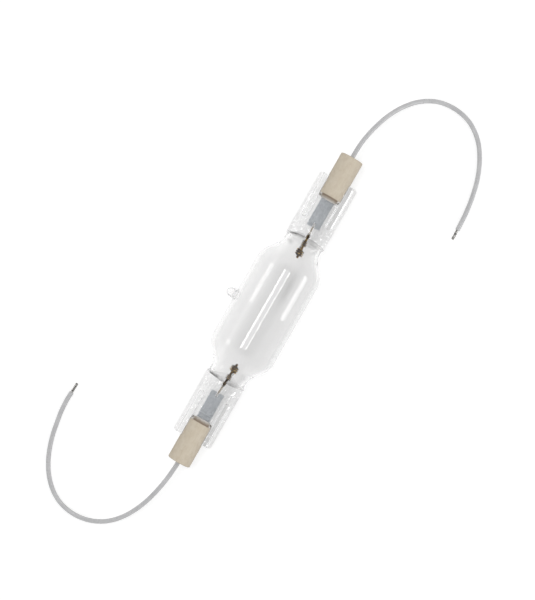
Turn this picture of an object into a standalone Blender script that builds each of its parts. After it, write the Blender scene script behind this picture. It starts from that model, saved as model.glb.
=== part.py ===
"""Double-ended metal halide lamp with cable leads.

Metres, +Z up. The lamp's axis is X, and the origin is on that axis, midway between the electrode tips. The
lamp lies on its cylinder, on a surface one bulb radius below the axis. Each end is modelled once, pointing
along +X, and the left end is the same end turned half a turn about Z.
"""

import math

import bmesh
import bpy
from mathutils import Vector

MM = 0.001

# Gap between pieces that touch on the real lamp
CLEARANCE = 0.3 * MM

# Quartz tube: cylinder, shoulder, waist and flat pinch
BULB_RADIUS = 18.35 * MM
BULB_WALL = 1.9 * MM
CYLINDER_HALF_LENGTH = 23.5 * MM
SHOULDER_LENGTH = 17.3 * MM
SHOULDER_ROUND = 10.5 * MM
WAIST_RADIUS = 10.55 * MM
WAIST_ROUND = 11.0 * MM
FLATTENING_LENGTH = 7.3 * MM
WAIST_TO_PINCH = 4.0 * MM
PINCH_WIDTH = 22.7 * MM
PINCH_THICKNESS = 4.4 * MM
PINCH_PLAN_CORNER = 1.8 * MM
PINCH_EDGE_ROUND = 1.2 * MM

# How the arc chamber closes to a wedge at the pinch
WEDGE_HALF_HEIGHT = 0.45 * MM
WEDGE_NARROWING = 0.2

# Recessed channels that give the pinch its I-shaped section
CHANNEL_OUTER_RIB = 1.85 * MM
CHANNEL_WIDTH = 3.9 * MM
CHANNEL_DEPTH = 0.9 * MM
CHANNEL_LENGTH = 26.2 * MM

# Sealed-off filling tube
TIP_OFF_X = -0.6 * MM
TIP_OFF_HEIGHT = 4.8 * MM
TIP_OFF_RADIUS = 2.5 * MM
TIP_OFF_FLARE = 1.6 * MM
TIP_OFF_ROOT_DEPTH = 1.3 * MM
TIP_OFF_RISE_DEG = 12.0

# Electrodes
ROD_RADIUS = 0.7 * MM
ROD_TIP_CHAMFER = 0.25 * MM
WELD_OVERLAP = 2.4 * MM
COIL_CLEARANCE = 0.25 * MM
COIL_WIRE_RADIUS = 0.325 * MM
COIL_TURN_GAP = 0.08 * MM
HEAD_COIL_SETBACK = 1.7 * MM
HEAD_COIL_GAP = 0.5 * MM
HEAD_COIL_TURNS = 3
HEAD_COIL_STEP_TURNS = 0.3
STEM_COIL_SETBACK = 1.1 * MM
STEM_COIL_TURNS = 3
STEM_COIL_PITCH = 1.15 * MM
STEM_COIL_TO_PINCH = 3.0 * MM
SEAL_WIRE_RADIUS = 0.2 * MM
SEAL_COIL_TURNS = 4
SEAL_COIL_OUTSIDE = 1.0 * MM
LEAN_RIGHT_DEG = 2.0
LEAN_LEFT_DEG = -3.8

# Foils and outer lead pins, both under the rods' ground flats
FOIL_WIDTH = 7.5 * MM
FOIL_LENGTH = 25.2 * MM
FOIL_THICKNESS = 0.1 * MM
FOIL_EDGE_THICKNESS = 0.02 * MM
FOIL_FEATHER = 0.8 * MM
FOIL_SET_IN = 6.0 * MM
FOIL_TO_PINCH_END = 3.6 * MM
PIN_RADIUS = 0.6 * MM
PIN_BEYOND_PINCH = 4.0 * MM

# Ceramic sleeves
SLEEVE_RADIUS = 6.5 * MM
SLEEVE_LENGTH = 24.0 * MM
SLEEVE_OVERLAP = 10.1 * MM
SLEEVE_ROUND = 0.9 * MM
SLEEVE_CHAMFER = 0.3 * MM
SLEEVE_BORE_RADIUS = 4.9 * MM

# Cement, with a rounded bead of it in front of the sleeve's mouth
CEMENT_PAST_CRIMP = 1.7 * MM
BEAD_LENGTH = 2.1 * MM
BEAD_NARROWING = 1.9 * MM
BEAD_ROUNDNESS = 1.4

# Crimps and leads
CRIMP_LENGTH = 5.0 * MM
CRIMP_WALL = 0.55 * MM
CONDUCTOR_RADIUS = 0.75 * MM
CABLE_RADIUS = 1.25 * MM
BARE_END_LENGTH = 5.5 * MM

# The leads' routes in millimetres, from the middle of the sleeve's outer face. Each runs straight out of the
# sleeve, sinks to the surface that the lamp lies on and lies there in a loop.
ROUTE_RIGHT = (
    (1.0, 0.1, 0.0),
    (8.0, -0.1, -0.1),
    (14.4, -1.0, -0.5),
    (20.8, -2.5, -1.6),
    (27.1, -4.5, -3.4),
    (33.2, -7.2, -5.8),
    (39.0, -10.7, -8.4),
    (44.2, -15.0, -11.0),
    (48.4, -20.4, -13.4),
    (51.2, -26.4, -15.3),
    (52.3, -32.9, -16.5),
    (51.9, -39.4, -16.95),
    (50.0, -45.6, -17.0),
    (46.5, -51.2, -17.0),
    (42.0, -55.9, -17.0),
    (36.6, -59.6, -17.0),
    (30.8, -62.6, -17.0),
    (24.7, -64.9, -17.0),
    (18.4, -66.5, -17.0),
    (12.0, -67.7, -17.0),
    (5.5, -68.5, -17.0),
    (-1.0, -68.9, -17.0),
    (-4.2, -69.0, -17.0),
)
ROUTE_LEFT = (
    (1.0, -0.1, 0.0),
    (8.2, -0.6, -0.1),
    (14.6, -1.5, -0.5),
    (21.0, -2.8, -1.6),
    (27.4, -4.6, -3.4),
    (33.7, -7.1, -5.8),
    (39.7, -10.3, -8.4),
    (45.1, -14.4, -11.0),
    (49.6, -19.5, -13.4),
    (52.7, -25.4, -15.3),
    (54.3, -31.8, -16.5),
    (54.3, -38.3, -16.95),
    (52.8, -44.7, -17.0),
    (49.7, -50.5, -17.0),
    (45.4, -55.4, -17.0),
    (40.3, -59.4, -17.0),
    (34.5, -62.6, -17.0),
    (28.5, -65.0, -17.0),
    (22.2, -66.8, -17.0),
    (15.8, -68.0, -17.0),
    (9.4, -69.0, -17.0),
    (2.9, -69.4, -17.0),
    (-2.4, -69.2, -17.0),
)

# Fineness of the meshes
QUADRANT_STEPS = 8
ARC_STEPS = 4
FLATTENING_STEPS = 6
TURNED_STEPS = 24
FINE_TURNED_STEPS = 16
TIP_OFF_STEPS = 24
COIL_STEPS = 10
ROUTE_SUBSTEPS = 12
CABLE_POINT_SPACING = 2.3 * 2 * CABLE_RADIUS
LEAST_RING_GAP = 0.25 * MM
MERGE_DISTANCE = 0.001 * MM
SHARP_ANGLE_DEG = 35.0
AXIS_DISPLAY_SIZE = 5 * MM

# Places that follow from the sizes above
WAIST_X = CYLINDER_HALF_LENGTH + SHOULDER_LENGTH
PINCH_EDGE_X = WAIST_X + WAIST_TO_PINCH
FOIL_START_X = PINCH_EDGE_X + FOIL_SET_IN
FOIL_END_X = FOIL_START_X + FOIL_LENGTH
FOIL_Z = -CLEARANCE - FOIL_THICKNESS / 2
PINCH_END_X = FOIL_END_X + FOIL_TO_PINCH_END
CHANNEL_Y = PINCH_WIDTH / 2 - CHANNEL_OUTER_RIB - CHANNEL_WIDTH / 2
FLATTENING_START_X = PINCH_EDGE_X - FLATTENING_LENGTH
SLEEVE_MOUTH_X = PINCH_END_X - SLEEVE_OVERLAP
SLEEVE_END_X = SLEEVE_MOUTH_X + SLEEVE_LENGTH
SLOT_END_X = PINCH_END_X + CLEARANCE
HALF_SLOT = PINCH_THICKNESS / 2 + CLEARANCE
BEAD_END_X = SLEEVE_MOUTH_X - CLEARANCE
BEAD_START_X = BEAD_END_X - BEAD_LENGTH
BEAD_RADIUS = SLEEVE_RADIUS - SLEEVE_CHAMFER
ROD_END_X = FOIL_START_X + WELD_OVERLAP
PIN_START_X = FOIL_END_X - WELD_OVERLAP
PIN_END_X = PINCH_END_X + PIN_BEYOND_PINCH
CRIMP_START_X = PIN_END_X + (CLEARANCE - CRIMP_LENGTH) / 2
CRIMP_END_X = CRIMP_START_X + CRIMP_LENGTH
CEMENT_END_X = CRIMP_END_X + CEMENT_PAST_CRIMP
CABLE_START_X = CEMENT_END_X + 2 * CLEARANCE
CONDUCTOR_START_X = PIN_END_X + CLEARANCE
CONDUCTOR_END_X = CABLE_START_X - CLEARANCE
CRIMP_BORE_RADIUS = CONDUCTOR_RADIUS + CLEARANCE
CRIMP_RADIUS = CRIMP_BORE_RADIUS + CRIMP_WALL
HEAD_COIL_PITCH = 2 * COIL_WIRE_RADIUS + HEAD_COIL_GAP
HEAD_LAYER_STEP = 2 * COIL_WIRE_RADIUS + COIL_TURN_GAP
STEM_COIL_FRONT_X = PINCH_EDGE_X - STEM_COIL_TO_PINCH - STEM_COIL_TURNS * STEM_COIL_PITCH
HEAD_COIL_FRONT_X = STEM_COIL_FRONT_X - STEM_COIL_SETBACK - HEAD_COIL_TURNS * HEAD_COIL_PITCH
ROD_TIP_X = HEAD_COIL_FRONT_X - HEAD_COIL_SETBACK
SEAL_COIL_PITCH = 2 * SEAL_WIRE_RADIUS + COIL_TURN_GAP
SEAL_COIL_END_X = PINCH_EDGE_X - SEAL_COIL_OUTSIDE + SEAL_COIL_TURNS * SEAL_COIL_PITCH


def clear_scene():
    for old in list(bpy.data.objects):
        bpy.data.objects.remove(old, do_unlink=True)


def make_collection(name):
    collection = bpy.data.collections.new(name)
    bpy.context.scene.collection.children.link(collection)
    return collection


def make_material(name, colour, roughness, metallic=0.0, transmission=0.0):
    material = bpy.data.materials.new(name)
    material.use_nodes = True
    shader = material.node_tree.nodes["Principled BSDF"]
    shader.inputs["Base Color"].default_value = (*colour, 1.0)
    shader.inputs["Roughness"].default_value = roughness
    shader.inputs["Metallic"].default_value = metallic
    shader.inputs["Transmission Weight"].default_value = transmission
    material.diffuse_color = (*colour, 1.0)
    return material


def add_object(name, data, collection, parent=None, material=None):
    piece = bpy.data.objects.new(name, data)
    collection.objects.link(piece)
    piece.parent = parent
    if material:
        data.materials.append(material)
    return piece


def add_empty(name, collection, parent=None, location=(0, 0, 0), rotation=(0, 0, 0)):
    empty = add_object(name, None, collection, parent)
    empty.empty_display_size = AXIS_DISPLAY_SIZE
    empty.location = location
    empty.rotation_euler = rotation
    return empty


def as_cutter(piece):
    piece.hide_render = True
    piece.display_type = "WIRE"
    return piece


def boolean(piece, operand, operation="DIFFERENCE"):
    modifier = piece.modifiers.new(f"{operation.lower()} {operand.name}", "BOOLEAN")
    modifier.operation = operation
    modifier.object = operand
    modifier.solver = "EXACT"


def smoothstep(low, high, value):
    share = min(max((value - low) / (high - low), 0.0), 1.0)
    return share * share * (3 - 2 * share)


def turned(name, profile, collection, parent, material=None, steps=TURNED_STEPS, hollow=False):
    """A piece turned about the parent's X axis. The profile's (along, radius) points run from its +X end."""
    mesh = bpy.data.meshes.new(name)
    edges = [(i, i + 1) for i in range(len(profile) - 1)]
    if hollow:
        edges.append((len(profile) - 1, 0))
    mesh.from_pydata([(radius, 0, along) for along, radius in profile], edges, [])
    piece = add_object(name, mesh, collection, parent, material)
    piece.rotation_euler = (0, math.pi / 2, 0)
    screw = piece.modifiers.new("turn", "SCREW")
    screw.axis = "Z"
    screw.angle = 2 * math.pi
    screw.steps = steps
    screw.render_steps = steps
    screw.use_merge_vertices = True
    screw.merge_threshold = MERGE_DISTANCE
    return piece


def box(name, low, high, collection, parent):
    mesh = bpy.data.meshes.new(name)
    shape = bmesh.new()
    bmesh.ops.create_cube(shape, size=1.0)
    size = Vector(high) - Vector(low)
    middle = (Vector(high) + Vector(low)) / 2
    bmesh.ops.scale(shape, vec=size, verts=shape.verts)
    bmesh.ops.translate(shape, vec=middle, verts=shape.verts)
    shape.to_mesh(mesh)
    shape.free()
    return add_object(name, mesh, collection, parent)


def extruded(name, outline, depth, collection):
    """A mesh made from a flat outline, extruded by the depth, half of it each way along its own Z."""
    curve = bpy.data.curves.new(name, "CURVE")
    curve.dimensions = "2D"
    curve.fill_mode = "BOTH"
    curve.extrude = depth / 2
    spline = curve.splines.new("POLY")
    spline.points.add(len(outline) - 1)
    for point, (x, y) in zip(spline.points, outline):
        point.co = (x, y, 0, 1)
    spline.use_cyclic_u = True
    source = bpy.data.objects.new(name, curve)
    bpy.context.scene.collection.objects.link(source)
    bpy.context.view_layer.update()
    evaluated = source.evaluated_get(bpy.context.evaluated_depsgraph_get())
    mesh = bpy.data.meshes.new_from_object(evaluated)
    bpy.data.objects.remove(source, do_unlink=True)
    bpy.data.curves.remove(curve)
    welded = bmesh.new()
    welded.from_mesh(mesh)
    bmesh.ops.remove_doubles(welded, verts=welded.verts, dist=MERGE_DISTANCE)
    bmesh.ops.recalc_face_normals(welded, faces=welded.faces)
    welded.to_mesh(mesh)
    welded.free()
    return add_object(name, mesh, collection)


def wire(name, points, radius, collection, parent, material):
    """A round wire or cable along the points."""
    curve = bpy.data.curves.new(name, "CURVE")
    curve.dimensions = "3D"
    curve.bevel_depth = radius
    curve.bevel_resolution = 2
    curve.use_fill_caps = True
    spline = curve.splines.new("POLY")
    spline.points.add(len(points) - 1)
    for point, place in zip(spline.points, points):
        point.co = (*place, 1)
    return add_object(name, curve, collection, parent, material)


def loft(name, rings, collection, material=None):
    """A closed solid through rings of equal point counts."""
    mesh = bpy.data.meshes.new(name)
    shape = bmesh.new()
    rows = [[shape.verts.new(point) for point in ring] for ring in rings]
    for row, after in zip(rows, rows[1:]):
        for i in range(len(row)):
            j = (i + 1) % len(row)
            shape.faces.new((row[i], row[j], after[j], after[i]))
    shape.faces.new(rows[0])
    shape.faces.new(reversed(rows[-1]))
    bmesh.ops.recalc_face_normals(shape, faces=shape.faces)
    shape.to_mesh(mesh)
    shape.free()
    mesh.shade_smooth()
    mesh.set_sharp_from_angle(angle=math.radians(SHARP_ANGLE_DEG))
    return add_object(name, mesh, collection, material=material)


def section(x, half_width, half_height, corner):
    """A rounded rectangle across the X axis. With all three sizes equal it is a circle with a flat below."""
    points = []
    for quadrant in range(4):
        side_y = 1 if quadrant in (0, 3) else -1
        side_z = 1 if quadrant in (0, 1) else -1
        for i in range(QUADRANT_STEPS):
            angle = math.pi / 2 * (quadrant + (i + 0.5) / QUADRANT_STEPS)
            y = side_y * (half_width - corner) + corner * math.cos(angle)
            z = side_z * (half_height - corner) + corner * math.sin(angle)
            points.append((x, y, z))
    return points


def shoulder_rounds():
    """Radii of the shoulder's and the waist's rounds, smaller where the shoulder is too short for both."""
    drop = BULB_RADIUS - WAIST_RADIUS
    room = (SHOULDER_LENGTH ** 2 + drop ** 2) / (2 * drop)
    fit = min(room / (SHOULDER_ROUND + WAIST_ROUND), 1.0)
    return SHOULDER_ROUND * fit, WAIST_ROUND * fit


def shoulder_angle():
    """Slope of the cone that joins the shoulder's round and the waist's round."""
    rounds = sum(shoulder_rounds())
    rise = rounds - (BULB_RADIUS - WAIST_RADIUS)
    apart = math.hypot(SHOULDER_LENGTH, rise)
    return math.atan2(SHOULDER_LENGTH, rise) - math.acos(min(rounds / apart, 1.0))


def blown_radius(x, inset=0.0):
    """Radius of the tube before its end is flattened. The inset gives the chamber inside the wall."""
    angle = shoulder_angle()
    corner, waist = shoulder_rounds()
    corner -= inset
    waist += inset
    radius = BULB_RADIUS - inset
    cone_start = CYLINDER_HALF_LENGTH + corner * math.sin(angle)
    cone_end = WAIST_X - waist * math.sin(angle)
    if x <= CYLINDER_HALF_LENGTH:
        return radius
    if x <= cone_start:
        return radius - corner + math.sqrt(corner ** 2 - (x - CYLINDER_HALF_LENGTH) ** 2)
    if x <= cone_end:
        return radius - corner * (1 - math.cos(angle)) - (x - cone_start) * math.tan(angle)
    if x <= WAIST_X:
        return WAIST_RADIUS - inset + waist - math.sqrt(waist ** 2 - (WAIST_X - x) ** 2)
    return WAIST_RADIUS - inset


def blown_stations(inset=0.0):
    """Places along one shoulder where the tube needs a ring, up to where it is flattened."""
    angle = shoulder_angle()
    corner, waist = shoulder_rounds()
    turns = [angle * i / ARC_STEPS for i in range(ARC_STEPS + 1)]
    places = [CYLINDER_HALF_LENGTH + (corner - inset) * math.sin(turn) for turn in turns]
    places += [WAIST_X - (waist + inset) * math.sin(turn) for turn in reversed(turns)]
    kept = places[:1]
    for x in places[1:]:
        if kept[-1] + LEAST_RING_GAP < x < FLATTENING_START_X - LEAST_RING_GAP:
            kept.append(x)
    return kept


def tube_size(x):
    """Half width, half height and corner radius of the tube's outside at x."""
    flat = smoothstep(FLATTENING_START_X, PINCH_EDGE_X, x)
    spread = smoothstep(WAIST_X, PINCH_EDGE_X, x)
    radius = blown_radius(x)
    half_width = radius + (PINCH_WIDTH / 2 - radius) * spread
    half_height = radius + (PINCH_THICKNESS / 2 - radius) * flat
    corner = half_height + (PINCH_EDGE_ROUND - half_height) * flat
    return half_width, half_height, corner


def tube_rings():
    rings = [section(x, *tube_size(x)) for x in blown_stations()]
    for i in range(FLATTENING_STEPS + 1):
        x = FLATTENING_START_X + FLATTENING_LENGTH * i / FLATTENING_STEPS
        rings.append(section(x, *tube_size(x)))
    for i in range(ARC_STEPS):
        turn = math.pi / 2 * i / (ARC_STEPS - 1)
        x = PINCH_END_X - PINCH_PLAN_CORNER * (1 - math.sin(turn))
        half_width = PINCH_WIDTH / 2 - PINCH_PLAN_CORNER * (1 - math.cos(turn))
        rings.append(section(x, half_width, PINCH_THICKNESS / 2, PINCH_EDGE_ROUND))
    return rings


def chamber_rings():
    """The arc chamber: the tube's outside less its wall, closing to a wedge at the pinch."""
    end = PINCH_EDGE_X - 2 * CLEARANCE
    rings = []
    for x in blown_stations(BULB_WALL):
        radius = blown_radius(x, BULB_WALL)
        rings.append(section(x, radius, radius, radius))
    for i in range(FLATTENING_STEPS + 1):
        x = FLATTENING_START_X + (end - FLATTENING_START_X) * i / FLATTENING_STEPS
        closing = max(x - WAIST_X, 0.0) / (PINCH_EDGE_X - WAIST_X)
        half_width = blown_radius(x, BULB_WALL) * math.sqrt(1 - WEDGE_NARROWING * closing ** 2)
        outside = tube_size(x)[1]
        half_height = min(max(outside - BULB_WALL, WEDGE_HALF_HEIGHT), half_width)
        rings.append(section(x, half_width, half_height, half_height))
    return rings


def both_ways(rings):
    """The rings of a whole tube from those of its +X half."""
    mirrored = [[(-x, y, z) for x, y, z in ring] for ring in reversed(rings)]
    return mirrored + rings


def quarter_round(along, radius, size):
    """Points of a rounded edge, from the face at the larger along round to the cylinder of this radius."""
    points = []
    for i in range(ARC_STEPS + 1):
        turn = math.pi / 2 * i / ARC_STEPS
        points.append((along - size * (1 - math.cos(turn)), radius - size * (1 - math.sin(turn))))
    return points


def make_tube(parts, cutters, material):
    tube = loft("quartz_tube", both_ways(tube_rings()), parts, material)
    for side, end in ends.items():
        for channel in make_channels(side, end, cutters):
            boolean(tube, channel)
    boolean(tube, make_tip_off(cutters), "UNION")
    boolean(tube, as_cutter(loft("arc chamber", both_ways(chamber_rings()), cutters)))
    for side, end in ends.items():
        for pocket in make_pockets(side, end, cutters):
            boolean(tube, pocket)
    return tube


def make_channels(side, end, cutters):
    """Cutters for the four round-ended channels in one pinch."""
    radius = CHANNEL_WIDTH / 2
    start = PINCH_END_X - CHANNEL_LENGTH + radius
    outline = []
    for i in range(2 * ARC_STEPS + 1):
        turn = math.pi / 2 + math.pi * i / (2 * ARC_STEPS)
        outline.append((start + radius * math.cos(turn), radius * math.sin(turn)))
    beyond = PINCH_END_X + PINCH_THICKNESS
    outline += [(beyond, -radius), (beyond, radius)]
    channels = []
    for edge in (-1, 1):
        for face in (-1, 1):
            name = f"channel {side} {'front' if edge < 0 else 'back'} {'bottom' if face < 0 else 'top'}"
            channel = as_cutter(extruded(name, outline, PINCH_THICKNESS, cutters))
            channel.parent = end
            middle = PINCH_THICKNESS - CHANNEL_DEPTH
            channel.location = (0, edge * CHANNEL_Y, face * middle)
            channels.append(channel)
    return channels


def make_tip_off(cutters):
    """The closed stub of the filling tube, standing on the cylinder and flared where it meets it."""
    rise = math.radians(TIP_OFF_RISE_DEG)
    place = (TIP_OFF_X, 0, 0)
    holder = add_empty("tip-off axis", cutters, location=place, rotation=(0, -rise, math.pi / 2))
    root = BULB_RADIUS - TIP_OFF_ROOT_DEPTH
    profile = quarter_round(BULB_RADIUS + TIP_OFF_HEIGHT, TIP_OFF_RADIUS, TIP_OFF_RADIUS)
    for i in range(ARC_STEPS):
        turn = math.pi / 2 * i / (ARC_STEPS - 1)
        along = BULB_RADIUS + TIP_OFF_FLARE * (1 - math.sin(turn))
        profile.append((along, TIP_OFF_RADIUS + TIP_OFF_FLARE * (1 - math.cos(turn))))
    profile += [(root, TIP_OFF_RADIUS + TIP_OFF_FLARE), (root, 0)]
    return as_cutter(turned("tip-off", profile, cutters, holder, steps=TIP_OFF_STEPS))


def make_pockets(side, end, cutters):
    """Room in the pinch for the electrode's shank, the foil and the outer lead pin."""
    shank = ROD_RADIUS + CLEARANCE
    coil = ROD_RADIUS + COIL_CLEARANCE + 2 * SEAL_WIRE_RADIUS + CLEARANCE
    coil_end = SEAL_COIL_END_X + SEAL_WIRE_RADIUS + CLEARANCE
    profile = [
        (CLEARANCE, 0),
        (CLEARANCE, shank),
        (coil_end - ROD_END_X, shank),
        (coil_end - ROD_END_X, coil),
        (WAIST_X - ROD_END_X, coil),
        (WAIST_X - ROD_END_X, 0),
    ]
    axis = electrode_axes[side]
    rod_pocket = turned(f"rod pocket {side}", profile, cutters, axis, steps=FINE_TURNED_STEPS)
    margin = Vector((CLEARANCE, CLEARANCE, CLEARANCE))
    low = Vector((FOIL_START_X, -FOIL_WIDTH / 2, FOIL_Z - FOIL_THICKNESS / 2)) - margin
    high = Vector((FOIL_END_X, FOIL_WIDTH / 2, FOIL_Z + FOIL_THICKNESS / 2)) + margin
    foil_pocket = box(f"foil pocket {side}", low, high, cutters, end)
    beyond = PINCH_END_X + PINCH_THICKNESS
    radius = PIN_RADIUS + CLEARANCE
    inner = PIN_START_X - CLEARANCE
    profile = [(beyond, 0), (beyond, radius), (inner, radius), (inner, 0)]
    pin_pocket = turned(f"pin pocket {side}", profile, cutters, end, steps=FINE_TURNED_STEPS)
    return [as_cutter(pocket) for pocket in (rod_pocket, foil_pocket, pin_pocket)]


def make_rod(side, parts, cutters, material):
    """The tungsten rod, chamfered at its tip and ground flat where it is welded on the foil."""
    axis = electrode_axes[side]
    tip = ROD_TIP_X - ROD_END_X
    profile = [
        (0, 0),
        (0, ROD_RADIUS),
        (tip + ROD_TIP_CHAMFER, ROD_RADIUS),
        (tip, ROD_RADIUS - ROD_TIP_CHAMFER),
        (tip, 0),
    ]
    rod = turned(f"electrode_rod_{side}", profile, parts, axis, material, FINE_TURNED_STEPS)
    low = (-WELD_OVERLAP - CLEARANCE, -2 * ROD_RADIUS, -2 * ROD_RADIUS)
    high = (CLEARANCE, 2 * ROD_RADIUS, 0)
    boolean(rod, as_cutter(box(f"rod flat {side}", low, high, cutters, axis)))
    return rod


def helix(start, pitch, radius, turns, first_turn=0.0):
    """Points of a helix about X, with its first and last points included."""
    steps = round(turns * COIL_STEPS)
    points = []
    for i in range(steps + 1):
        turn = i / COIL_STEPS
        angle = 2 * math.pi * (first_turn + turn)
        points.append((start + pitch * turn, radius * math.cos(angle), radius * math.sin(angle)))
    return points


def make_head_coil(side, parts, material):
    """One wire wound towards the tip on the rod, then back over itself in a second layer."""
    inner = ROD_RADIUS + COIL_CLEARANCE + COIL_WIRE_RADIUS
    outer = inner + HEAD_LAYER_STEP
    pitch = HEAD_COIL_PITCH
    front = HEAD_COIL_FRONT_X - ROD_END_X
    points = helix(front + HEAD_COIL_TURNS * pitch, -pitch, inner, HEAD_COIL_TURNS)
    steps = round(HEAD_COIL_STEP_TURNS * COIL_STEPS)
    for i in range(1, steps):
        share = i / steps
        angle = 2 * math.pi * (HEAD_COIL_TURNS + share * HEAD_COIL_STEP_TURNS)
        radius = inner + (outer - inner) * share
        points.append((front, radius * math.cos(angle), radius * math.sin(angle)))
    points += helix(front, pitch, outer, HEAD_COIL_TURNS, HEAD_COIL_TURNS + HEAD_COIL_STEP_TURNS)
    axis = electrode_axes[side]
    return wire(f"head_coil_{side}", points, COIL_WIRE_RADIUS, parts, axis, material)


def make_stem_coil(side, parts, material):
    radius = ROD_RADIUS + COIL_CLEARANCE + COIL_WIRE_RADIUS
    points = helix(STEM_COIL_FRONT_X - ROD_END_X, STEM_COIL_PITCH, radius, STEM_COIL_TURNS)
    axis = electrode_axes[side]
    return wire(f"stem_coil_{side}", points, COIL_WIRE_RADIUS, parts, axis, material)


def make_seal_coil(side, parts, material):
    radius = ROD_RADIUS + COIL_CLEARANCE + SEAL_WIRE_RADIUS
    points = helix(SEAL_COIL_END_X - ROD_END_X, -SEAL_COIL_PITCH, radius, SEAL_COIL_TURNS)
    axis = electrode_axes[side]
    return wire(f"seal_coil_{side}", points, SEAL_WIRE_RADIUS, parts, axis, material)


def make_foil(side, end, parts, material):
    """The foil, thick in the middle and feathered to thin long edges."""
    half = FOIL_WIDTH / 2
    middle = half - FOIL_FEATHER
    outline = [
        (-half, -FOIL_EDGE_THICKNESS / 2),
        (-middle, -FOIL_THICKNESS / 2),
        (middle, -FOIL_THICKNESS / 2),
        (half, -FOIL_EDGE_THICKNESS / 2),
        (half, FOIL_EDGE_THICKNESS / 2),
        (middle, FOIL_THICKNESS / 2),
        (-middle, FOIL_THICKNESS / 2),
        (-half, FOIL_EDGE_THICKNESS / 2),
    ]
    foil = extruded(f"foil_{side}", outline, FOIL_LENGTH, parts)
    foil.data.materials.append(material)
    foil.parent = end
    foil.rotation_euler = (math.pi / 2, 0, math.pi / 2)
    foil.location = ((FOIL_START_X + FOIL_END_X) / 2, 0, FOIL_Z)
    return foil


def make_pin(side, end, parts, cutters, material):
    """The outer lead pin, ground flat where it is welded on the foil."""
    profile = [(PIN_END_X, 0), (PIN_END_X, PIN_RADIUS), (PIN_START_X, PIN_RADIUS), (PIN_START_X, 0)]
    pin = turned(f"lead_pin_{side}", profile, parts, end, material, FINE_TURNED_STEPS)
    low = (PIN_START_X - CLEARANCE, -2 * PIN_RADIUS, -2 * PIN_RADIUS)
    high = (FOIL_END_X + CLEARANCE, 2 * PIN_RADIUS, 0)
    boolean(pin, as_cutter(box(f"pin flat {side}", low, high, cutters, end)))
    return pin


def make_sleeve(side, end, parts, cutters, material):
    """The ceramic sleeve: a stepped bore from end to end, and a slot across its mouth for the pinch."""
    cable_hole = CABLE_RADIUS + CLEARANCE
    profile = quarter_round(SLEEVE_END_X, SLEEVE_RADIUS, SLEEVE_ROUND)
    profile += [
        (SLEEVE_MOUTH_X + SLEEVE_CHAMFER, SLEEVE_RADIUS),
        (SLEEVE_MOUTH_X, SLEEVE_RADIUS - SLEEVE_CHAMFER),
        (SLEEVE_MOUTH_X, SLEEVE_BORE_RADIUS),
        (CEMENT_END_X, SLEEVE_BORE_RADIUS),
        (CEMENT_END_X, cable_hole),
        (SLEEVE_END_X, cable_hole),
    ]
    sleeve = turned(f"ceramic_sleeve_{side}", profile, parts, end, material, hollow=True)
    low = (SLEEVE_MOUTH_X - SLEEVE_RADIUS, -2 * SLEEVE_RADIUS, -HALF_SLOT)
    high = (SLOT_END_X, 2 * SLEEVE_RADIUS, HALF_SLOT)
    boolean(sleeve, as_cutter(box(f"slot {side}", low, high, cutters, end)))
    return sleeve


def make_cement(side, end, parts, cutters, material):
    """The cement that fills the sleeve round the pinch and the crimp, with its bead in front of the mouth."""
    outer = SLEEVE_BORE_RADIUS - CLEARANCE
    bore = CRIMP_RADIUS + CLEARANCE
    stop = CEMENT_END_X - CLEARANCE
    profile = [(stop, bore), (stop, outer), (BEAD_END_X, outer)]
    for i in range(ARC_STEPS + 1):
        share = i / ARC_STEPS
        radius = BEAD_RADIUS - BEAD_NARROWING * share ** BEAD_ROUNDNESS
        profile.append((BEAD_END_X - BEAD_LENGTH * share, radius))
    profile.append((BEAD_START_X, bore))
    cement = turned(f"cement_{side}", profile, parts, end, material, hollow=True)
    low = (BEAD_START_X - SLEEVE_RADIUS, -2 * SLEEVE_RADIUS, -HALF_SLOT)
    high = (SLOT_END_X, 2 * SLEEVE_RADIUS, HALF_SLOT)
    boolean(cement, as_cutter(box(f"pinch room {side}", low, high, cutters, end)))
    return cement


def make_crimp(side, end, parts, material):
    profile = [
        (CRIMP_END_X, CRIMP_RADIUS),
        (CRIMP_START_X, CRIMP_RADIUS),
        (CRIMP_START_X, CRIMP_BORE_RADIUS),
        (CRIMP_END_X, CRIMP_BORE_RADIUS),
    ]
    return turned(f"crimp_{side}", profile, parts, end, material, FINE_TURNED_STEPS, hollow=True)


def smooth_route(route):
    """Points at even spacing on a smooth curve from inside the sleeve through the route's own points."""
    exit_point = Vector((SLEEVE_END_X, 0, 0))
    own = [Vector((CABLE_START_X, 0, 0))]
    own += [exit_point + Vector(point) * MM for point in route]
    padded = [2 * own[0] - own[1]] + own + [2 * own[-1] - own[-2]]
    fine = []
    for before, start, stop, after in zip(padded, padded[1:], padded[2:], padded[3:]):
        for i in range(ROUTE_SUBSTEPS):
            t = i / ROUTE_SUBSTEPS
            slope = (stop - before) * t
            bend = (2 * before - 5 * start + 4 * stop - after) * t ** 2
            twist = (3 * start - before - 3 * stop + after) * t ** 3
            fine.append(start + (slope + bend + twist) / 2)
    fine.append(own[-1])
    lengths = [0.0]
    for place, following in zip(fine, fine[1:]):
        lengths.append(lengths[-1] + (following - place).length)
    count = round(lengths[-1] / CABLE_POINT_SPACING)
    even = [fine[0]]
    k = 0
    for i in range(1, count):
        wanted = lengths[-1] * i / count
        while lengths[k + 1] < wanted:
            k += 1
        share = (wanted - lengths[k]) / (lengths[k + 1] - lengths[k])
        even.append(fine[k].lerp(fine[k + 1], share))
    return even + [fine[-1]]


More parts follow.
